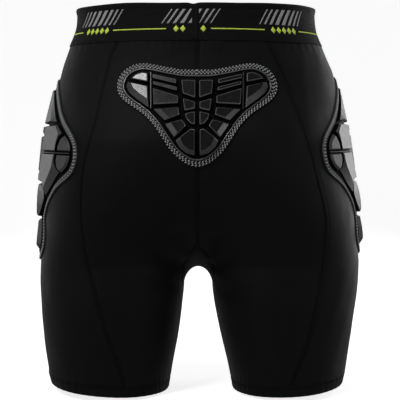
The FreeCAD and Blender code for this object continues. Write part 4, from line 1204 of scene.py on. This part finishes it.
def fill(ring, spacing):
    """Triangles filling a flat ring: (points, triangles, index of each ring point)."""
    low, high = ring.min(0), ring.max(0)
    x, y = np.meshgrid(np.arange(low[0], high[0], spacing), np.arange(low[1], high[1], spacing))
    grid = np.stack([x.ravel(), y.ravel()], 1)
    inside = np.zeros(len(grid), bool)
    near = np.full(len(grid), 1e9)
    for a, b in zip(ring, np.roll(ring, -1, 0)):
        crosses = (a[1] > grid[:, 1]) != (b[1] > grid[:, 1])
        cross_x = (b[0] - a[0]) * (grid[:, 1] - a[1]) / (b[1] - a[1] + 1e-12) + a[0]
        inside ^= crosses & (grid[:, 0] < cross_x)
        edge = b - a
        t = np.clip(((grid - a) @ edge) / max(edge @ edge, 1e-12), 0, 1)
        near = np.minimum(near, np.hypot(*(grid - a - t[:, None] * edge).T))
    grid = grid[inside & (near > spacing * 0.6)]
    count = len(ring)
    edges = [(i, (i + 1) % count) for i in range(count)]
    sources = [Vector(p) for p in np.concatenate([ring, grid])]
    points, _, faces, origins, _, _ = delaunay_2d_cdt(sources, edges, [], 1, 1e-5)
    points = np.array([(p[0], p[1]) for p in points])
    ring_index = np.full(count, -1)
    for k, origin in enumerate(origins):
        for source in origin:
            if source < count:
                ring_index[source] = k
    triangles = np.array([(f[0], f[k], f[k + 1]) for f in faces for k in range(1, len(f) - 1)])
    a, b, c = (points[triangles[:, k]] for k in range(3))
    area = (b[:, 0] - a[:, 0]) * (c[:, 1] - a[:, 1]) - (b[:, 1] - a[:, 1]) * (c[:, 0] - a[:, 0])
    return points, np.where((area < 0)[:, None], triangles[:, ::-1], triangles), ring_index


def inset(corners, widths):
    """Each edge i (from corner i to i + 1) of an anticlockwise outline moved inwards."""
    result = np.zeros_like(corners)
    for i, b in enumerate(corners):
        u, v = unit(b - corners[i - 1]), unit(corners[(i + 1) % len(corners)] - b)
        n1, n2 = np.array([-u[1], u[0]]), np.array([-v[1], v[0]])
        w1, w2 = widths[i - 1], widths[i]
        system = np.array([n1, n2])
        if abs(np.linalg.det(system)) < 0.2:
            result[i] = b + unit(n1 + n2) * (w1 + w2) / 2
        else:
            result[i] = b + np.linalg.solve(system, np.array([w1, w2]))
    return result


def cut_corners(corners, radius):
    """Each corner replaced by three points, so that the moulded corners are round."""
    result = []
    for i, b in enumerate(corners):
        a, c = corners[i - 1], corners[(i + 1) % len(corners)]
        to_a, to_c = np.linalg.norm(a - b), np.linalg.norm(c - b)
        cut = min(radius, to_a * 0.4, to_c * 0.4)
        p, q = b + (a - b) / to_a * cut, b + (c - b) / to_c * cut
        result += [p, 0.25 * p + 0.5 * b + 0.25 * q, q]
    return np.array(result)


# ------------------------------------------------------------------ pads
def place(surface, flat, height, side):
    """Flat points laid on the body at a height."""
    points = surface(flat[:, 0], flat[:, 1])
    return flip(points + normals(points) * (height * np.ones(len(flat)))[:, None], side)


def ring_faces(count, a, b):
    i = np.arange(count)
    j = (i + 1) % count
    return np.stack([a + i, a + j, b + j, b + i], 1)


# material slots of the blocks: the recess slot carries painted shade, the edge, facet and side slots
# painted light
BLOCK_SKIN, BLOCK_PAINTED_SHADE, BLOCK_EDGE, BLOCK_FACET, BLOCK_SIDE_PAINTED_LIGHT = range(5)
BLOCK_FOOT = 2.7
STEEP_DROP = 3.8


def block(surface, corners, facets, height, side):
    """One moulded block with walls, bevels or broad facets and a flat top.

    Returns its vertices, quads, top triangles and the material slot of each quad.
    """
    corners = np.array(corners, float)
    count = len(corners)
    heights = np.array(facets.get("high", [height] * count), float)
    shaped = "top" in facets
    edges = {k: v for k, v in facets.items() if isinstance(k, int)}
    if shaped:
        top, drops = np.array(facets["top"], float), np.array(facets["drop"], float)
    if double_area(corners) < 0:
        corners, heights = corners[::-1], heights[::-1]
        edges = {(count - 2 - k) % count: v for k, v in edges.items()}
        if shaped:
            top, drops = top[::-1], drops[::-1]
    small = abs(double_area(corners)) / 2 < 90
    radius = 0.7 if small else 1.2
    if not shaped:
        plain = (0.4, 0.4) if small and not edges else (1.0, 0.8)
        widths, edge_drops = np.array([edges.get(i, plain) for i in range(count)], float).T
        drops = np.maximum(edge_drops, np.roll(edge_drops, 1))
        top = inset(corners, widths)
    outlines = [
        (cut_corners(inset(corners, np.full(count, -0.5)), radius), BLOCK_FOOT),
        (cut_corners(corners, radius), np.repeat(heights - drops - 0.1, 3)),
        (cut_corners(inset(corners, np.full(count, 0.12)), radius), np.repeat(heights - drops, 3)),
        (cut_corners(top, radius * 0.7), np.repeat(heights, 3))]
    rings = [place(surface, flat, h, side) for flat, h in outlines]
    # flatten the top
    centre = rings[-1].mean(0)
    offsets = rings[-1] - centre
    normal = np.linalg.svd(offsets)[2][2]
    rings[-1] = rings[-1] - np.outer(offsets @ normal, normal)
    size = 3 * count
    quads = np.concatenate([ring_faces(size, k * size, (k + 1) * size) for k in range(3)])
    slots = np.full(len(quads), BLOCK_SKIN, np.int32)
    # painted shade on the wall at the foot of each block
    slots[:size] = BLOCK_PAINTED_SHADE
    if not shaped:
        # steep sides get painted light; listed bevels take the facet material and plain bevels the
        # edge material, both painted light
        kinds = np.where(edge_drops >= STEEP_DROP, BLOCK_SIDE_PAINTED_LIGHT, BLOCK_FACET)
        kinds = np.where([i in edges for i in range(count)], kinds, BLOCK_EDGE)
        bevel = np.repeat(kinds, 3)
        for i in range(count):
            if i - 1 in edges or (i == 0 and count - 1 in edges):
                bevel[3 * i:3 * i + 2] = kinds[i - 1]
        slots[2 * size:] = bevel
    vertices = np.concatenate(rings + [rings[-1].mean(0)[None]])
    i = np.arange(size)
    fan = np.stack([3 * size + i, 3 * size + (i + 1) % size, np.full(size, 4 * size)], 1)
    return vertices, turn(quads, side), turn(fan, side), slots


# Rings of the flange and its underside: (share of the way from rim to outline, extra mm,
# height). strips: material slot between neighbouring rings, 0 ground, 1 recess (painted shade), 3
# lip (grey, partly painted highlight).
# stitch_rows: (share of the way, sideways lean, height).
TAIL_STYLE = SimpleNamespace(
    skin=PAD, edge=PAD_EDGE_PAINTED_HIGHLIGHT, facet=PAD_FACET_PAINTED_LIGHT, ground=FLANGE,
    rings=[(1.0, 0.0, 0.3), (1.0, 0.12, 0.9), (1.0, -0.2, 1.6), (1.0, -0.55, 1.75),
           (1.0, -0.9, 1.5), (0.8, 0, 1.25), (0.5, 0, 1.25), (0.37, 0, 1.2), (0.35, 0, 0.9),
           (0.33, 0, 1.5), (0.31, 0, 2.3), (0.27, 0, 2.85), (0.22, 0, 3.05), (0.17, 0, 2.95),
           (0.13, 0, 2.6), (0.11, 0, 2.1), (0.05, 0, 2.0), (0.0, -0.1, 2.1)],
    strips=[0] * 7 + [1] * 2 + [3] * 5 + [1] * 3,
    stitch_rows=[(0.87, 0.9, 1.72), (0.68, -0.9, 1.6), (0.49, 0.9, 1.6)])
HIP_STYLE = SimpleNamespace(
    skin=PAD_HIP_PAINTED_LIGHT, edge=PAD_HIP_PAINTED_LIGHT, facet=PAD_HIP_PAINTED_LIGHT, ground=FLANGE_HIP,
    rings=[(1.0, 0.0, 0.3), (1.0, 0.12, 0.9), (1.0, -0.15, 1.5), (1.0, -0.4, 1.7),
           (1.0, -0.7, 1.5), (0.84, 0, 1.3), (0.5, 0, 1.3), (0.26, 0, 1.4), (0.2, 0, 1.75),
           (0.15, 0, 1.9), (0.11, 0, 1.8), (0.08, 0, 1.4), (0.03, 0, 1.3), (-0.02, -0.2, 1.9)],
    strips=[0] * 10 + [1] * 3,
    stitch_rows=[(0.76, 0.9, 1.75), (0.42, -0.9, 1.7)])
UNDERSIDE = [(1.0, -1.4, 0.28), (0.2, 0, 0.28), (-0.12, -0.3, 0.3), (-0.16, -0.6, 1.7)]
FOAM_RINGS = [(-0.22, -0.6, 0.4), (-0.2, -0.5, 0.6), (-0.2, -0.5, 1.2), (-0.22, -0.7, 1.45),
              (-0.28, -1.0, 1.55)]
LINING_RINGS = [(0.9, 0, -1.95), (0.98, 0, -1.8), (1.0, 0, -1.55), (0.98, 0, -1.3),
                (0.9, 0, -1.15)]


class Pad:
    """A moulded pad on the body; body_side 0 hangs it from the pelvis, 1 or -1 only bakes its
    transform.
    """

    def __init__(self, prefix, surface, outline, rim, blocks, style, side, body_side, tag):
        self.prefix, self.tag, self.surface, self.style = prefix, tag, surface, style
        self.side, self.body_side = side, body_side
        rim = smooth_closed(rim, 1.5)
        self.rim = rim[::-1] if double_area(rim) < 0 else rim
        self.count = len(rim)
        self.outward = outward(self.rim)
        self.width = distance_to(self.rim, self.outward, smooth_closed(outline, 1.6))
        self.add_flange()
        self.add_blocks(blocks)
        self.add_stitching()
        self.add_soft("foam", FOAM_RINGS, FOAM, "pad_foam", dimple=0.12)
        self.add_soft("lining", LINING_RINGS, MESH_LINING, "mesh", dimple=0.0)

    def add(self, kind, replaced, vertices, faces, material, slot, **options):
        add_piece(f"{self.prefix}_{kind}{self.tag}", vertices, faces, material, slot,
                  self.body_side, replaces=f"{self.prefix}_{replaced}{self.tag}", **options)

    def offset(self, share, extra=0.0):
        return self.rim + self.outward * (self.width * share + extra)[:, None]

    def place(self, flat, height):
        return place(self.surface, flat, height, self.side)

    def cap(self, ring, ring_start, start, spacing, height, dimple=0.0):
        """Fills a flat ring: flat points, placed vertices (from start on) and triangles."""
        flat, triangles, ring_index = fill(ring, spacing)
        number = np.arange(len(flat)) + start
        number[ring_index] = np.arange(self.count) + ring_start
        bumps = height + dimple * np.sin(flat[:, 0] * 0.9) * np.sin(flat[:, 1] * 0.9)
        return flat, self.place(flat, bumps), number[triangles]

    def add_flange(self):
        count, rings = self.count, self.style.rings
        every = rings + UNDERSIDE
        vertices = np.concatenate([self.place(self.offset(f, e), h) for f, e, h in every])
        quads = [ring_faces(count, (i + 1) * count, i * count) for i in range(len(rings) - 1)]
        order = [0, *range(len(rings), len(every))]
        quads += [ring_faces(count, a * count, b * count) for a, b in zip(order, order[1:])]
        quads = np.concatenate(quads)
        # shelf the blocks stand on, and its underside
        _, shelf, shelf_faces = self.cap(
            self.offset(*rings[-1][:2]), (len(rings) - 1) * count, len(vertices), 4.0, 2.8)
        vertices = np.concatenate([vertices, shelf])
        _, low, low_faces = self.cap(
            self.offset(*UNDERSIDE[-1][:2]), (len(every) - 1) * count, len(vertices), 5.0, 1.7)
        vertices = np.concatenate([vertices, low])
        triangles = np.concatenate([shelf_faces, low_faces[:, ::-1]])
        strips = self.style.strips + [0] * len(UNDERSIDE)
        slots = np.concatenate([np.repeat(strips, count), np.full(len(triangles), 2)])
        self.add("flange", "shell", vertices, [turn(quads, self.side), turn(triangles, self.side)],
                 self.style.ground, "pad_skin", more_materials=(PAD_RECESS_PAINTED_SHADE, FLOOR, PAD_LIP_GREY_AND_HIGHLIGHT),
                 material_index=slots, sharp=42)

    def add_blocks(self, blocks):
        parts = [block(self.surface, *shape, self.side) for shape in blocks]
        vertices, quads, tops = merge([part[:3] for part in parts])
        slots = np.concatenate([part[3] for part in parts] + [np.zeros(len(tops), np.int32)])
        style = self.style
        self.add("blocks", "shell", vertices, [quads, tops], style.skin, "pad_skin",
                 more_materials=(PAD_RECESS_PAINTED_SHADE, style.edge, style.facet, HIP_SIDE_PAINTED_LIGHT),
                 material_index=slots, sharp=7)

    def add_stitching(self):
        """Rows of slanted stitches on the flange, like a flat braid."""
        rows = []
        for row, (share, lean, height) in enumerate(self.style.stitch_rows):
            flat = even(self.offset(share), 1.95, closed=True)[row % 2::2]
            centres = place(self.surface, flat, height, 1)
            along, normal, across = curve_frame(centres, closed=True)
            rows.append(stitches(centres, along + across * lean, normal,
                                 length=2.7, radius=0.56))
        vertices, faces = merge(rows)
        self.add("stitching_thread", "stitching", flip(vertices, self.side),
                 turn(faces, self.side), PAD_THREAD, "pad_thread")

    def add_soft(self, kind, rings, material, slot, dimple):
        """A soft layer with rounded edges."""
        count = self.count
        flats = [self.offset(share, extra) for share, extra, _ in rings]
        vertices = np.concatenate([self.place(f, r[2]) for f, r in zip(flats, rings)])
        quads = np.concatenate([ring_faces(count, i * count, (i + 1) * count)
                                for i in range(len(rings) - 1)])
        st, triangles = flats[:], []
        for k, order in ((len(rings) - 1, 1), (0, -1)):
            flat, cap, faces = self.cap(flats[k], k * count, len(vertices), 4.0, rings[k][2],
                                        dimple)
            vertices = np.concatenate([vertices, cap])
            st.append(flat)
            triangles.append(turn(faces, order))
        triangles = np.concatenate(triangles)
        self.add(f"{kind}_soft", kind, vertices,
                 [turn(quads, self.side), turn(triangles, self.side)], material, slot,
                 st=np.concatenate(st))


Pad("tailbone_pad", rear, both_halves(TAIL_OUTLINE, opposite), both_halves(TAIL_RIM, opposite),
    TAIL_BLOCKS + mirror_blocks(TAIL_BLOCKS, opposite), TAIL_STYLE, side=1, body_side=0, tag="")
for side, surface in ((1, worn_right), (-1, worn_left)):
    Pad("hip_pad", surface, both_halves(HIP_OUTLINE, fore_side), both_halves(HIP_RIM, fore_side),
        HIP_BLOCKS + mirror_blocks(HIP_BLOCKS, fore_side) + HIP_SPINE, HIP_STYLE,
        side=side, body_side=side, tag="_" + SIDE[side])


# ------------------------------------------------------------------ stage, light and camera (metres)
def backdrop_material():
    """Bright to the camera, dim to the rays that light the garment."""
    shader = Shader("backdrop")
    rays = shader.node("ShaderNodeLightPath", {})
    seen, mirrored = rays["Is Camera Ray"], rays["Is Glossy Ray"]
    glow = shader.ramp(seen, 0.0, 1.0, to_low=0.04, to_high=0.78)
    shader.surface(
        Base_Color=shader.mix(seen, (0.16, 0.16, 0.165), (0.82, 0.82, 0.82)),
        Roughness=0.9,
        Specular_IOR_Level=0.02,
        Emission_Color=(1.0, 1.0, 1.0),
        Emission_Strength=shader.math("ADD", glow, shader.math("MULTIPLY", mirrored, 0.13)))
    return shader.material


def add_backdrop(near=-3.0, bend=1.6, radius=1.2, height=5.0, half_width=6):
    """Floor that curves up into a wall in front of the garment (+Y)."""
    profile = [(near, 0.0), (bend, 0.0)]
    profile += [(bend + radius * math.sin(a), radius - radius * math.cos(a))
                for a in np.linspace(0.1, PI / 2, 14)]
    profile.append((bend + radius, height))
    mesh = bpy.data.meshes.new("backdrop")
    mesh.from_pydata([(x, y, z) for y, z in profile for x in (-half_width, half_width)], [],
                     [(2 * i, 2 * i + 1, 2 * i + 3, 2 * i + 2) for i in range(len(profile) - 1)])
    mesh.polygons.foreach_set("use_smooth", [True] * len(mesh.polygons))
    mesh.materials.append(backdrop_material())
    floor = bpy.data.objects.new("backdrop", mesh)
    floor.location = (0, 0, -0.0015)
    bpy.context.scene.collection.objects.link(floor)


def add_light(name, location, aim, width, height, power):
    light = bpy.data.lights.new(name, "AREA")
    light.energy = power
    light.shape = "RECTANGLE"
    light.size = width
    light.size_y = height
    lamp = bpy.data.objects.new(name, light)
    lamp.location = location
    lamp.rotation_euler = (Vector(aim) - Vector(location)).to_track_quat("-Z", "Y").to_euler()
    bpy.context.scene.collection.objects.link(lamp)


add_backdrop()

scene = bpy.context.scene
scene.world = bpy.data.worlds.new("studio")
scene.world.use_nodes = True
background = scene.world.node_tree.nodes["Background"]
background.inputs["Color"].default_value = (1, 1, 1, 1)
background.inputs["Strength"].default_value = 0.10

add_light("glint_left", location=(-0.82, -1.08, 1.40), aim=(-0.06, -0.1, 0.36),
          width=0.36, height=0.44, power=12.0)
add_light("side_right", location=(1.25, 1.0, 0.42), aim=(0.1, 0, 0.2),
          width=1.3, height=1.1, power=14.5)
add_light("side_left", location=(-1.25, 1.0, 0.42), aim=(-0.1, 0, 0.2),
          width=1.3, height=1.1, power=5.5)
add_light("low_right", location=(1.5, -1.5, 0.35), aim=(0.1, 0, 0.2),
          width=0.9, height=0.6, power=6.5)
add_light("low_left", location=(-1.5, -1.5, 0.25), aim=(-0.1, 0, 0.2),
          width=0.9, height=0.5, power=3.0)
add_light("top", location=(0.0, -0.3, 1.8), aim=(0, 0, 0.3), width=1.0, height=0.6, power=3.8)

# the camera looks at the back, tipped slightly down
CAMERA_PITCH = math.radians(3.45)
lens = bpy.data.cameras.new("camera")
lens.sensor_width = 36.0
lens.lens = 103.5
lens.clip_start = 0.05
lens.clip_end = 30
camera = bpy.data.objects.new("camera", lens)
camera.location = (0.003, -1.360, 0.3095)
camera.rotation_euler = (PI / 2 - CAMERA_PITCH, 0, 0)
scene.collection.objects.link(camera)
scene.camera = camera
scene.view_settings.view_transform = "Standard"
scene.view_settings.look = "None"
